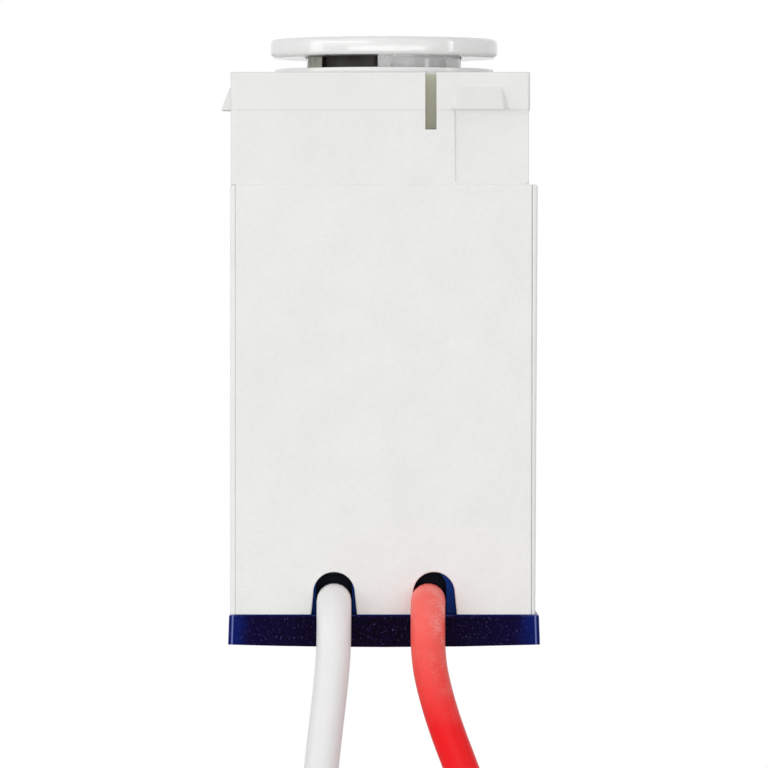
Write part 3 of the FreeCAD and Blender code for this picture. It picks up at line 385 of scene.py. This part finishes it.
def neck():
    """Walls with a raised band round their top, a spigot below, and cuts that free the tongues."""
    body = block("snap_neck", (NECK_LEFT, NECK_FRONT, 0), (NECK_RIGHT, -NECK_FRONT, NECK_TOP - 1))
    band = block("band", (NECK_LEFT - 0.01, NECK_FRONT - BAND_STEP, BAND_FOOT),
                 (NECK_RIGHT + BAND_STEP, BAND_STEP - NECK_FRONT, NECK_TOP))
    for piece in (body, band):
        bevel(piece, 0.25, 4, lambda a, b: abs(a.z - b.z) > 2)
    at_top = edge_at("z", NECK_TOP)
    bevel(band, 0.1, 3, at_top)
    combine(body, "UNION", [band])
    catch_right, low = NECK_RIGHT - CATCH_PLACE, BAND_FOOT + 0.01
    catches = [catch(180, (catch_right, NECK_FRONT - CATCH_SEAT, low)),
               catch(0, (catch_right, -NECK_FRONT + CATCH_SEAT, low)),
               catch(90, (NECK_LEFT, NECK_FRONT + CATCH_PLACE, low))]
    spigot = block("spigot", (-PLUG, -PLUG, -2), (PLUG, PLUG, 0.5))
    combine(body, "UNION", [spigot, *catches])
    cuts = []
    for way in (-1, 1):
        cuts.append(side_block("groove", way, (SLOT[0], OUTSIDE), GROOVE, (TONGUE_FLOOR, ABOVE)))
        cuts.append(side_block("slot", way, SLOT, (10.5, OUTSIDE), (TONGUE_FLOOR, ABOVE)))
        cuts.append(side_block("step", way, (STEP_LEFT, OUTSIDE), (STEP_FACE, OUTSIDE),
                               (STEP_FOOT, BAND_FOOT)))
    cuts.append(block("lower_room", (-ROOM, -ROOM, -3), (ROOM, ROOM, 2)))
    cuts.append(block("upper_room", (-ROOM, -ROOM_DEPTH, 1.9), (ROOM, ROOM_DEPTH, 7.8)))
    cuts.append(disc("sleeve_hole", SLEEVE_HOLE, 7, ABOVE, sides=96))
    combine(body, "DIFFERENCE", cuts)
    clean(body)
    slot_side, step_end = edge_at("x", SLOT[0]), edge_at("x", STEP_LEFT, rise=5)
    bevel(body, 0.22, 4, lambda a, b: at_top(a, b) and slot_side(a, b) and abs(a.y - b.y) > 0.5)
    bevel(body, 0.08, 3, lambda a, b: step_end(a, b) and min(abs(a.y), abs(b.y)) > 12.1)
    return finish(body, "housing", "neck_housing", edge=0.06)


# Collar, button and light guide

COLLAR, SLEEVE, BORE, COLLAR_TOP = 8.9, 7.45, 6.35, 9.52
# The button's disc, and the step under its sides and back
CAP, UNDERSIDE, BUTTON_TOP, STEP, STEP_LOW = 9.2, 10.54, 11.97, 8.92, 10.42
# The skirt: radius outside and inside, foot, and the radii that a cut right through its wall has
SKIRT, SKIRT_INSIDE, SKIRT_FOOT, THROUGH = 6.27, 5.07, 5.6, (4.5, 7.3)
# Angles in degrees about the button's axis, 0 at the right and -90 at the front
WINDOW, GUIDE_SLOT = (-144, -94.6), (-169, -143.9)
RECESS_STARTS, RECESS_SPAN, RECESS_DEPTH = (-85.4, 36.0, 94.6), 49.4, 0.4
# The window and the recesses end at this height below
WINDOW_FOOT = 8.44
# Barbs: how far they stand out, their foot and top, and half the angle that each takes
BARB_REACH, BARB_FOOT, BARB_TOP, BARB_HALF = 0.45, 5.65, 6.35, 9


def collar():
    """Low ring on the neck's top, with the sleeve that guides the button."""
    ring = disc("guide_collar", COLLAR, NECK_TOP, COLLAR_TOP)
    bevel(ring, 0.12, 4, edge_at("z", COLLAR_TOP))
    combine(ring, "UNION", [disc("sleeve", SLEEVE, 6.4, 9.3)])
    combine(ring, "DIFFERENCE", [disc("bore", BORE, 6, 10)])
    return finish(ring, "housing", "button_collar", edge=0.06)


def barb(quarter):
    """A small wedge round the skirt's foot, as wide as the skirt at its lower edge."""
    outside = SKIRT + BARB_REACH
    wedge = sector("barb", SKIRT - 0.4, outside, BARB_FOOT, BARB_TOP,
                   quarter * 90 - BARB_HALF, quarter * 90 + BARB_HALF)
    begin_edit(wedge)
    choose(wedge, "VERT", lambda place: math.hypot(place.x, place.y) > SKIRT + 0.4 and place.z < 6)
    bpy.ops.transform.resize(value=(SKIRT / outside, SKIRT / outside, 1),
                             center_override=(0, 0, 0))
    end_edit()
    return wedge


def button():
    """Round disc on a skirt with a window, three blind recesses, four barbs and a middle post."""
    cap = disc("push_button", CAP, UNDERSIDE, BUTTON_TOP, sides=160)
    bevel(cap, 0.4, 7, edge_at("z", BUTTON_TOP))
    bevel(cap, 0.26, 5, edge_at("z", UNDERSIDE))
    step = disc("lower_step", STEP, STEP_LOW, UNDERSIDE + 0.2, sides=160)
    combine(step, "DIFFERENCE", [block("front_cut", (-6.3, -10, 10), (6.3, 0, 11))])
    combine(cap, "UNION", [step])
    skirt = disc("skirt", SKIRT, SKIRT_FOOT, UNDERSIDE + 0.3)
    combine(skirt, "DIFFERENCE", [disc("skirt_bore", SKIRT_INSIDE, 5, UNDERSIDE + 1)])
    cuts = [sector("window", *THROUGH, WINDOW_FOOT, UNDERSIDE + 0.1, *WINDOW),
            sector("guide_slot", *THROUGH, 5, UNDERSIDE + 0.12, *GUIDE_SLOT)]
    cuts += [sector("recess", SKIRT - RECESS_DEPTH, THROUGH[1], WINDOW_FOOT, UNDERSIDE + 0.1,
                    start, start + RECESS_SPAN) for start in RECESS_STARTS]
    combine(skirt, "DIFFERENCE", cuts)
    combine(skirt, "UNION", [barb(quarter) for quarter in range(4)])
    combine(cap, "UNION", [skirt, disc("post", 1.5, 7.05, UNDERSIDE + 0.2, sides=48)])
    return finish(cap, "button", "button_cap", edge=0.05)


def light_guide():
    """Clear pane in the skirt's window, painted dark as painted shade, and the frosted leg that brings
    light up to it.
    """
    inside, pane_face, leg_face, top = 5.11, 5.91, 6.23, 10.5
    pane = sector("light_guide_pane", inside, pane_face, 8.48, top, -145, -95.6)
    leg = sector("leg", inside, leg_face, 3.4, top, -168, -144)
    combine(pane, "UNION", [leg])
    return finish(pane, "button", "light_guide", edge=0.04)


# Base cap

# The rim's half width and half depth at its top, its half width at its foot, and its height
RIM, RIM_DEPTH, RIM_FOOT, RIM_HEIGHT = 12.4, 12.45, 12.48, 2.4
# The underside bulges by this much, in slices this wide
DOME, SLICE = 0.2, 2.08
# The wall that plugs into the shell: half width of its room, and its height
BASE_ROOM, BASE_WALL = 9.7, 5
# Radius of the tunnels that take the leads through the wall and of their grooves in the rim, and
# the leads' height there
TUNNEL, LEAD_GROOVE, LEAD_HEIGHT = 1.45, 1.42, -33.3


def base():
    """Translucent base: a flared rim with a domed underside, and the wall that plugs into the shell."""
    rim = block("blue_base", (-RIM, -RIM_DEPTH, FOOT - RIM_HEIGHT), (RIM, RIM_DEPTH, FOOT))
    begin_edit(rim)
    choose(rim, "FACE", lambda place: place.z < FOOT - 2)
    bpy.ops.transform.resize(value=(RIM_FOOT / RIM, 1, 1))
    for number in range(-5, 6):
        bpy.ops.mesh.select_all(action="SELECT")
        bpy.ops.mesh.bisect(plane_co=metres(number * SLICE, 0, 0), plane_no=(1, 0, 0))
    end_edit()
    for vertex in rim.data.vertices:
        if vertex.co.z / MM < FOOT - 2:
            vertex.co.z -= DOME * MM * (1 - (vertex.co.x / MM / RIM_FOOT) ** 2)
    top = edge_at("z", FOOT)
    bevel(rim, 0.4, 5, lambda a, b: abs(a.z - b.z) > 2 and min(abs(a.x), abs(b.x)) > 12.3)
    bevel(rim, 0.16, 3, lambda a, b: top(a, b) and max(abs(a.x), abs(a.y)) > 12
          and max(abs(b.x), abs(b.y)) > 12)
    wall = block("wall", (-PLUG, -PLUG, FOOT - 0.5), (PLUG, PLUG, FOOT + BASE_WALL))
    room = block("wall_room", (-BASE_ROOM, -BASE_ROOM, FOOT - 1),
                 (BASE_ROOM, BASE_ROOM, FOOT + BASE_WALL + 1))
    places = (WHITE_PLACE, RED_PLACE)
    tunnels = [arch_cutter("tunnel", middle, TUNNEL, TUNNEL, FOOT + 3.6, FOOT - 1, -13, -9)
               for middle in places]
    combine(wall, "DIFFERENCE", [room, *tunnels])
    combine(rim, "UNION", [wall])
    grooves = [rod("groove", LEAD_GROOVE, -15, -7.4, middle=(middle, LEAD_HEIGHT), sides=40)
               for middle in places]
    combine(rim, "DIFFERENCE", grooves)
    return finish(rim, "housing", "base_cap", edge=0.05)


def coil_spring():
    """Return spring, a copy of the CAD solid with its doubled points merged."""
    spring = bpy.data.objects.new("coil_spring", frame["nodes"]["return_spring"].data.copy())
    bpy.context.scene.collection.objects.link(spring)
    begin_edit(spring)
    bpy.ops.mesh.select_all(action="SELECT")
    bpy.ops.mesh.remove_doubles(threshold=1e-7)
    end_edit()
    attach(spring, "housing")
    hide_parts("return_spring")
    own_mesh(spring)
    return spring


shell_piece, panel_piece, neck_piece = rear_shell(), front_panel(), neck()
collar_piece, button_piece, guide_piece, base_piece = collar(), button(), light_guide(), base()
spring_piece = coil_spring()


# Materials

def srgb(code, alpha=1.0):
    """A hex colour as linear values."""
    parts = [int(code[i:i + 2], 16) / 255 for i in (1, 3, 5)]
    return (*[p / 12.92 if p <= 0.04045 else ((p + 0.055) / 1.055) ** 2.4 for p in parts], alpha)


def add_node(tree, kind, inputs=None, **settings):
    """Adds a node with its settings, and gives its inputs a value or a link."""
    made = tree.nodes.new(f"ShaderNode{kind}")
    for name, value in settings.items():
        setattr(made, name, value)
    for name, value in (inputs or {}).items():
        if isinstance(value, bpy.types.NodeSocket):
            tree.links.new(value, made.inputs[name])
        else:
            made.inputs[name].default_value = value
    return made


def new_material(name):
    """A material with one glossy-and-diffuse shader. Returns it with its node tree and shader."""
    made = bpy.data.materials.new(name)
    made.use_nodes = True
    tree = made.node_tree
    return made, tree, tree.nodes["Principled BSDF"]


def moulded_plastic(name, colour, shade, size, depth, roughness, ior=1.53):
    """Injection-moulded plastic, with the tool's grain and a faint unevenness 4 mm across from the
    way the plastic flowed. The grain's size and depth are in millimetres."""
    made, tree, shader = new_material(name)
    place = add_node(tree, "TexCoord").outputs["Object"]
    fine = add_node(tree, "TexNoise", {"Vector": place, "Scale": 1 / (size * MM)}).outputs["Fac"]
    broad = add_node(tree, "TexNoise", {"Vector": place, "Scale": 1 / (4.0 * MM)}).outputs["Fac"]
    both = add_node(tree, "Math", {0: fine, 1: broad}, operation="ADD")
    mixed = add_node(tree, "MapRange", {"Value": both.outputs[0], "From Min": 0.7, "From Max": 1.3})
    tint = add_node(tree, "Mix", {0: mixed.outputs[0], 6: srgb(shade), 7: srgb(colour)},
                    data_type="RGBA")
    bump = add_node(tree, "Bump", {"Height": fine, "Strength": 0.5, "Distance": depth * MM})
    rough = add_node(tree, "MapRange", {"Value": fine, "To Min": roughness - 0.05,
                                        "To Max": roughness + 0.05})
    tree.links.new(tint.outputs[2], shader.inputs["Base Color"])
    tree.links.new(bump.outputs[0], shader.inputs["Normal"])
    tree.links.new(rough.outputs[0], shader.inputs["Roughness"])
    shader.inputs["IOR"].default_value = ior
    return made


# Glass-filled nylon, moulded in a spark-eroded tool, which gives a dull and finely pebbled white.
# The real pebbles are about 0.05 mm, under a pixel, so they are drawn at 0.2 mm to show.
textured_white = moulded_plastic("spark_textured_nylon", "#F1F1F0", "#EBEBE9", 0.2, 0.03, 0.62)
# The same plastic from a smoother tool, satin to the eye. Its grain is drawn coarse too.
satin_white = moulded_plastic("satin_moulded_nylon", "#EBEBE9", "#E6E6E4", 0.3, 0.004, 0.34)


def warm_inside(material, colour):
    """Paints the neck's inner walls a warmer, darker white: painted light for the warmer light that
    comes through the plastic, and painted shade.
    """
    tree = material.node_tree
    base_colour = tree.nodes["Principled BSDF"].inputs["Base Color"]
    outer = base_colour.links[0].from_socket
    parts = add_node(tree, "SeparateXYZ", {"Vector": add_node(tree, "TexCoord").outputs["Object"]})
    inside = 1.0
    # What lies nearer to the middle than these faces of the neck is inside it
    for axis, limit in (("X", 11.4), ("Y", 12.0), ("Z", 8.9)):
        size = add_node(tree, "Math", {0: parts.outputs[axis]}, operation="ABSOLUTE")
        within = add_node(tree, "Math", {0: size.outputs[0], 1: limit * MM}, operation="LESS_THAN")
        inside = add_node(tree, "Math", {0: within.outputs[0], 1: inside},
                          operation="MULTIPLY").outputs[0]
    mixed = add_node(tree, "Mix", {0: inside, 6: outer, 7: srgb(colour)}, data_type="RGBA")
    tree.links.new(mixed.outputs[2], base_colour)


# Painted light and shade on the neck's inner walls, which show through the slots
warm_inside(satin_white, "#DEDECD")
# Polycarbonate from a polished tool: a clean gloss, hardly waved, and a white nearer to neutral.
# Light goes into it and comes out again, which softens its shaded side.
polished_white = moulded_plastic("polished_polycarbonate", "#F3F3F2", "#F0F0EF", 0.5, 0.001, 0.12,
                                 1.58)
polished_shader = polished_white.node_tree.nodes["Principled BSDF"]
polished_shader.inputs["Subsurface Weight"].default_value = 0.8
polished_shader.inputs["Subsurface Radius"].default_value = (1.0, 0.97, 0.92)
polished_shader.inputs["Subsurface Scale"].default_value = 1.6 * MM
# The collar is the same plastic, but backed by the housing, so no light comes through it
solid_white = moulded_plastic("polished_polycarbonate_ring", "#F6F6F5", "#F3F3F2", 0.5, 0.001, 0.2,
                              1.58)


def blue_polycarbonate():
    """Tinted polycarbonate from a polished tool, with light painted into its colour: near black where
    it is thick, a painted blue glow at its ends and in its upper wall, a painted highlight along its
    brim, and a lighter painted highlight down each rounded corner. Its pale flecks are painted glints.
    The flecks in it are drawn at 0.13 and 0.2 mm, two pixels wide, because finer ones would not show."""
    made, tree, shader = new_material("tinted_translucent_polycarbonate")
    coordinates = add_node(tree, "TexCoord")
    place, facing = coordinates.outputs["Object"], coordinates.outputs["Normal"]
    parts = add_node(tree, "SeparateXYZ", {"Vector": place})
    # From the middle to the two ends, with the borders between the colours pushed about by a cloud.
    # This is painted light: darker towards the middle, and a painted blue glow at the thin ends.
    reach = add_node(tree, "Math", {0: parts.outputs["X"]}, operation="ABSOLUTE")
    cloud = add_node(tree, "TexNoise", {"Vector": place, "Scale": 1 / (1.2 * MM),
                                        "Detail": 3.0}).outputs["Fac"]
    pushed = add_node(tree, "Math", {0: cloud, 1: 1.6 * MM, 2: reach.outputs[0]},
                      operation="MULTIPLY_ADD")
    inward = add_node(tree, "MapRange", {"Value": pushed.outputs[0], "From Min": 5.0 * MM,
                                         "From Max": 11.4 * MM})
    ends = add_node(tree, "MapRange", {"Value": pushed.outputs[0], "From Min": 11.4 * MM,
                                       "From Max": 12.7 * MM})
    thick = add_node(tree, "Mix", {0: inward.outputs[0], 6: srgb("#080115"), 7: srgb("#0B052E")},
                     data_type="RGBA")
    body = add_node(tree, "Mix", {0: ends.outputs[0], 6: thick.outputs[2], 7: srgb("#081A62")},
                    data_type="RGBA")
    # Upwards: a painted highlight on the brim under the housing, and a painted glow on the wall inside
    # it
    brim = add_node(tree, "MapRange", {"Value": parts.outputs["Z"], "From Min": (FOOT - 0.22) * MM,
                                       "From Max": (FOOT - 0.1) * MM, "To Max": 0.7})
    rimmed = add_node(tree, "Mix", {0: brim.outputs[0], 6: body.outputs[2], 7: srgb("#0C1450")},
                      data_type="RGBA")
    # Painted glow: the upper wall is a brighter blue for the light that comes through it
    high = add_node(tree, "MapRange", {"Value": parts.outputs["Z"], "From Min": (FOOT - 0.1) * MM,
                                       "From Max": (FOOT + 0.2) * MM})
    wall = add_node(tree, "Mix", {0: high.outputs[0], 6: rimmed.outputs[2], 7: srgb("#16439A")},
                    data_type="RGBA")
    # A dark mottle all over, and pale specks that gather in patches: painted glints, where the
    # textured surface catches the light
    veins = add_node(tree, "TexNoise", {"Vector": place, "Scale": 1 / (0.13 * MM), "Detail": 3.0})
    mottle = add_node(tree, "MapRange", {"Value": veins.outputs["Fac"], "From Min": 0.53,
                                         "From Max": 0.78})
    grainy = add_node(tree, "Mix", {0: mottle.outputs[0], 6: wall.outputs[2], 7: srgb("#1E1150")},
                      data_type="RGBA")
    cells = add_node(tree, "TexVoronoi", {"Vector": place, "Scale": 1 / (0.2 * MM)})
    speck = add_node(tree, "MapRange", {"Value": cells.outputs["Distance"], "From Min": 0.26,
                                        "From Max": 0.08})
    patches = add_node(tree, "TexNoise", {"Vector": place, "Scale": 1 / (0.5 * MM)})
    some = add_node(tree, "MapRange", {"Value": patches.outputs["Fac"], "From Min": 0.4,
                                       "From Max": 0.7})
    amount = add_node(tree, "Math", {0: speck.outputs[0], 1: some.outputs[0]}, operation="MULTIPLY")
    glints_painted = add_node(tree, "Mix", {0: amount.outputs[0], 6: grainy.outputs[2], 7: srgb("#625F96")},
                      data_type="RGBA")
    # A painted highlight down a corner, where the surface faces both sideways and forwards
    turned = add_node(tree, "SeparateXYZ", {"Vector": facing})
    corner = add_node(tree, "Math", {0: turned.outputs["X"], 1: turned.outputs["Y"]},
                      operation="MULTIPLY")
    size = add_node(tree, "Math", {0: corner.outputs[0]}, operation="ABSOLUTE")
    rise = add_node(tree, "MapRange", {"Value": size.outputs[0], "From Min": 0.02, "From Max": 0.1})
    fall = add_node(tree, "MapRange", {"Value": size.outputs[0], "From Min": 0.42, "From Max": 0.3})
    line = add_node(tree, "Math", {0: rise.outputs[0], 1: fall.outputs[0]}, operation="MULTIPLY")
    corner_highlight_painted = add_node(tree, "Mix", {0: line.outputs[0], 6: glints_painted.outputs[2], 7: srgb("#6C74AC")},
                     data_type="RGBA")
    bump = add_node(tree, "Bump", {"Height": cloud, "Strength": 0.3, "Distance": 0.02 * MM})
    tree.links.new(corner_highlight_painted.outputs[2], shader.inputs["Base Color"])
    tree.links.new(bump.outputs[0], shader.inputs["Normal"])
    shader.inputs["Roughness"].default_value = 0.24
    shader.inputs["IOR"].default_value = 1.58
    shader.inputs["Specular IOR Level"].default_value = 0.01
    return made


# The leads are bent between these heights, fully at the upper one
BEND_FOOT, BEND_TOP = -43.5, -31.0


def lead_insulation(name, colour, shade, whitened, scuff, amount, gloss):
    """Extruded PVC: satin, whitened where it bends, with fine scuffs there, mostly on its right.
    Real scuffs are hair lines, and they are drawn 0.08 mm wide, one pixel, to show."""
    made, tree, shader = new_material(name)
    coordinates = add_node(tree, "TexCoord")
    place = coordinates.outputs["Object"]
    parts = add_node(tree, "SeparateXYZ", {"Vector": place})
    turned = add_node(tree, "SeparateXYZ", {"Vector": coordinates.outputs["Normal"]})
    # Scuffs run across the lead at a slant, and gather in patches 1.6 mm across
    drawn = add_node(tree, "Mapping", {"Vector": place, "Rotation": (0, math.radians(25), 0),
                                       "Scale": (0.3, 0.3, 1)})
    lines = add_node(tree, "TexNoise", {"Vector": drawn.outputs[0], "Scale": 1 / (0.08 * MM)})
    patches = add_node(tree, "TexNoise", {"Vector": place, "Scale": 1 / (1.6 * MM)})
    both = add_node(tree, "Math", {0: lines.outputs["Fac"], 1: patches.outputs["Fac"]},
                    operation="MULTIPLY")
    marks = add_node(tree, "MapRange", {"Value": both.outputs[0], "From Min": 0.2, "From Max": 0.38,
                                        "To Max": amount})
    side = add_node(tree, "MapRange", {"Value": turned.outputs["X"], "From Min": -0.1,
                                       "From Max": 0.8, "To Min": 0.15, "To Max": 1.0})
    strip = add_node(tree, "Math", {0: marks.outputs[0], 1: side.outputs[0]}, operation="MULTIPLY")
    tones = add_node(tree, "TexNoise", {"Vector": place, "Scale": 1 / (5.0 * MM)})
    tone = add_node(tree, "Mix", {0: tones.outputs["Fac"], 6: srgb(shade), 7: srgb(colour)},
                    data_type="RGBA")
    bent = add_node(tree, "MapRange", {"Value": parts.outputs["Z"], "From Min": BEND_FOOT * MM,
                                       "From Max": BEND_TOP * MM})
    strained = add_node(tree, "Mix", {0: bent.outputs[0], 6: tone.outputs[2], 7: srgb(whitened)},
                        data_type="RGBA")
    worn = add_node(tree, "Math", {0: strip.outputs[0], 1: bent.outputs[0]}, operation="MULTIPLY")
    skin = add_node(tree, "Mix", {0: worn.outputs[0], 6: strained.outputs[2], 7: srgb(scuff)},
                    data_type="RGBA")
    bump = add_node(tree, "Bump", {"Height": lines.outputs["Fac"], "Strength": 0.25,
                                   "Distance": 0.01 * MM})
    tree.links.new(skin.outputs[2], shader.inputs["Base Color"])
    tree.links.new(bump.outputs[0], shader.inputs["Normal"])
    shader.inputs["Roughness"].default_value = 0.38
    shader.inputs["IOR"].default_value = 1.53
    shader.inputs["Specular IOR Level"].default_value = gloss
    return made


# Left of this place is the guide's leg
LEG_SIDE = -5.0


def clear_guide_painted_shade():
    """Clear acrylic: its pane, from a polished tool, is painted dark, a painted shade for the unlit
    housing that shows through it, and its leg, from a blasted tool, is frosted to a pale grey."""
    made, tree, shader = new_material("clear_frosted_acrylic_painted_shade")
    place = add_node(tree, "TexCoord").outputs["Object"]
    parts = add_node(tree, "SeparateXYZ", {"Vector": place})
    frosted = add_node(tree, "Math", {0: parts.outputs["X"], 1: LEG_SIDE * MM},
                       operation="LESS_THAN")
    frost = add_node(tree, "TexNoise", {"Vector": place, "Scale": 1 / (0.5 * MM)})
    mottle = add_node(tree, "Mix", {0: frost.outputs["Fac"], 6: srgb("#A3A498"), 7: srgb("#D6D8CC")},
                      data_type="RGBA")
    # Painted shade: the clear pane is painted near black, with a faint haze
    haze = add_node(tree, "TexNoise", {"Vector": place, "Scale": 1 / (0.9 * MM)})
    pane_painted_shade = add_node(tree, "Mix", {0: haze.outputs["Fac"], 6: srgb("#14120E"), 7: srgb("#2B2721")},
                     data_type="RGBA")
    colour = add_node(tree, "Mix", {0: frosted.outputs[0], 6: pane_painted_shade.outputs[2],
                                    7: mottle.outputs[2]}, data_type="RGBA")
    rough = add_node(tree, "MapRange", {"Value": frosted.outputs[0], "To Min": 0.35, "To Max": 0.7})
    tree.links.new(colour.outputs[2], shader.inputs["Base Color"])
    tree.links.new(rough.outputs[0], shader.inputs["Roughness"])
    shader.inputs["IOR"].default_value = 1.49
    shader.inputs["Specular IOR Level"].default_value = 0.25
    return made


def inner_part(name, colour, shade, size, roughness, metallic):
    """An inner part's finish: two close colours in a grain of a given size, with a fine bump."""
    made, tree, shader = new_material(name)
    place = add_node(tree, "TexCoord").outputs["Object"]
    fine = add_node(tree, "TexNoise", {"Vector": place, "Scale": 1 / (size * MM)}).outputs["Fac"]
    tint = add_node(tree, "Mix", {0: fine, 6: srgb(shade), 7: srgb(colour)}, data_type="RGBA")
    bump = add_node(tree, "Bump", {"Height": fine, "Strength": 0.4, "Distance": 0.004 * MM})
    tree.links.new(tint.outputs[2], shader.inputs["Base Color"])
    tree.links.new(bump.outputs[0], shader.inputs["Normal"])
    shader.inputs["Roughness"].default_value = roughness
    shader.inputs["Metallic"].default_value = metallic
    return made


def give(thing, material):
    """Gives a piece its one material."""
    thing.data.materials.clear()
    thing.data.materials.append(material)


base_blue = blue_polycarbonate()
white_pvc = lead_insulation("white_pvc_insulation", "#EDECEC", "#E8E7E8", "#F0EEEE", "#F6F5F3",
                            0.4, 0.5)
red_pvc = lead_insulation("red_pvc_insulation", "#FA181E", "#F2151A", "#FF786E", "#FFC4BC",
                          0.7, 0.15)
guide_acrylic = clear_guide_painted_shade()

give(shell_piece, textured_white)
give(panel_piece, textured_white)
give(neck_piece, satin_white)
give(collar_piece, solid_white)
give(button_piece, polished_white)
give(guide_piece, guide_acrylic)
give(base_piece, base_blue)
give(white_lead, white_pvc)
give(red_lead, red_pvc)

# The grain of these is mostly under 0.1 mm and would not show, so it is drawn a few times coarser
INNER_FINISHES = {
    # slot: common name, colour, shade, grain in mm, roughness, metallic
    # Steel wire drawn through a die and coiled: bright, with faint streaks
    "spring_steel": ("drawn_spring_steel", "#B5B5B3", "#8F908F", 0.15, 0.3, 1.0),
    # Nylon from a blasted tool: a matt black
    "black_moulding": ("black_nylon", "#222223", "#1A1A1B", 0.3, 0.5, 0.0),
    # Acetal, moulded: a waxy dark brown
    "brown_moulding": ("brown_acetal", "#4E2D1C", "#3F2416", 0.3, 0.45, 0.0),
    # Epoxy cast round the lamp's die: a straw-coloured, glossy lens
    "lamp_resin": ("clear_epoxy_lens", "#EDE4C2", "#DDD2A8", 0.3, 0.15, 0.0),
    # Lacquer printed on glass cloth and epoxy: satin green, uneven where the cloth lies under it
    "circuit_board": ("solder_resist_on_glass_epoxy", "#1E5B36", "#184D2D", 0.4, 0.35, 0.0),
    # Brass, stamped and plated: a smooth yellow metal
    "gold_pins": ("gold_flashed_brass", "#E2BB61", "#CFA54A", 0.2, 0.25, 1.0),
    # Steel sheet, folded and tinned: a soft grey metal with cloudy patches
    "tinned_steel": ("tinned_steel_can", "#BFC0C0", "#A4A5A6", 0.4, 0.35, 1.0),
    # Filled epoxy, moulded round the chip: matt charcoal
    "epoxy_case": ("moulded_epoxy", "#28282A", "#1F1F21", 0.25, 0.55, 0.0),
    # Silicone with mineral filler, cut from a sheet: dull grey
    "grey_silicone": ("filled_silicone_pad", "#8E9499", "#838A90", 0.3, 0.7, 0.0),
    # Aluminium sheet, rolled and stamped: a pale metal with a soft shine
    "aluminium_sheet": ("rolled_aluminium", "#C9CACC", "#B3B5B8", 0.25, 0.35, 1.0),
    # Polyester box, moulded and filled: a smooth yellow
    "yellow_film_case": ("yellow_polyester_case", "#D9A41F", "#CB9718", 0.5, 0.35, 0.0),
    # Epoxy, dipped and baked: a glossy blue that is a little uneven
    "blue_epoxy": ("dipped_blue_epoxy", "#2B4C94", "#244386", 0.8, 0.3, 0.0),
    # Aluminium, drawn to a can: bright and smooth
    "aluminium_can": ("drawn_aluminium_can", "#C4C6C9", "#AEB0B4", 0.3, 0.3, 1.0),
    # Ferrite powder, pressed and fired: a dull, stony near-black
    "ferrite": ("sintered_ferrite", "#2C2C2E", "#222224", 0.2, 0.6, 0.0),
    # Copper wire under baked enamel: a deep orange shine
    "enamelled_copper": ("enamelled_copper_wire", "#B0552A", "#8E3F1C", 0.3, 0.3, 1.0),
    # Nylon, moulded: painted nearly black, a painted shade for how it looks behind the two openings
    "grey_moulding": ("grey_nylon_painted_shade", "#161D2E", "#111724", 0.3, 0.5, 0.0),
    # Steel, turned and zinc plated: a pale, slightly cloudy metal
    "screw_steel": ("zinc_plated_steel", "#BDBDB8", "#A2A29C", 0.25, 0.35, 1.0),
    # Copper, drawn and freshly stripped: a bright pink metal
    "bare_copper": ("bare_copper_wire", "#D28A62", "#B96F48", 0.2, 0.28, 1.0),
}
materials = {slot: inner_part(*finish) for slot, finish in INNER_FINISHES.items()}
# The lead clamp shows through the two openings, where hardly any light reaches it
clamp_shader = materials["grey_moulding"].node_tree.nodes["Principled BSDF"]
clamp_shader.inputs["Specular IOR Level"].default_value = 0.08
give(spring_piece, materials["spring_steel"])
for subpart in frame["record"]["subparts"]:
    node = frame["nodes"][subpart["node"]]
    node.data.materials.clear()
    node.data.materials.append(materials.get(subpart["material_slot"], textured_white))


# Floor, world and lamps

bpy.ops.object.select_all(action="DESELECT")
bpy.ops.mesh.primitive_plane_add(size=3.0, location=metres(0, 0, -150))
floor = settle("floor")
# Paper from a roll, matt and very faintly mottled
made, tree, shader = new_material("matt_white_paper")
place = add_node(tree, "TexCoord").outputs["Object"]
fibres = add_node(tree, "TexNoise", {"Vector": place, "Scale": 1 / (1.5 * MM)})
paper = add_node(tree, "Mix", {0: fibres.outputs["Fac"], 6: srgb("#F1F1F0"), 7: srgb("#F4F4F3")},
                 data_type="RGBA")
tree.links.new(paper.outputs[2], shader.inputs["Base Color"])
shader.inputs["Roughness"].default_value = 0.9
floor.data.materials.append(made)

# The world is white to the camera, in gloss and through clear parts, and dimmer as a light
world = bpy.data.worlds.new("studio")
bpy.context.scene.world = world
world.use_nodes = True
tree = world.node_tree
background = tree.nodes["Background"]
ray = add_node(tree, "LightPath")
seen = add_node(tree, "Math", {0: ray.outputs["Is Camera Ray"], 1: ray.outputs["Is Glossy Ray"]},
                operation="MAXIMUM")
shown = add_node(tree, "Math", {0: seen.outputs[0], 1: ray.outputs["Is Transmission Ray"]},
                 operation="MAXIMUM")
strength = add_node(tree, "MapRange", {"Value": shown.outputs[0], "To Min": 0.38, "To Max": 1.0})
tree.links.new(strength.outputs[0], background.inputs["Strength"])
background.inputs["Color"].default_value = (1, 1, 1, 1)

# Every lamp faces this place in the middle of the housing
LIT_PLACE = (0, 0, -14)


def lamp(name, place, width, height, watts):
    """A soft light of a given size in millimetres."""
    data = bpy.data.lights.new(name, "AREA")
    data.shape = "RECTANGLE"
    data.size = width * MM
    data.size_y = height * MM
    data.energy = watts
    made = bpy.data.objects.new(name, data)
    made.location = metres(*place)
    made.rotation_euler = (metres(*LIT_PLACE) - made.location).to_track_quat("-Z", "Y").to_euler()
    bpy.context.scene.collection.objects.link(made)


lamp("front_left_softbox", (-560, -700, 165), 800, 160, 1.35)
lamp("front_fill", (60, -950, -48), 1600, 130, 2.45)
lamp("overhead_softbox", (-150, -350, 650), 500, 500, 0.8)
lamp("front_right_softbox", (520, -650, 120), 300, 300, 0.2)
lamp("left_strip", (-856, -278, -10), 240, 800, 1.6)
lamp("right_strip", (856, -278, -10), 90, 800, 0.95)
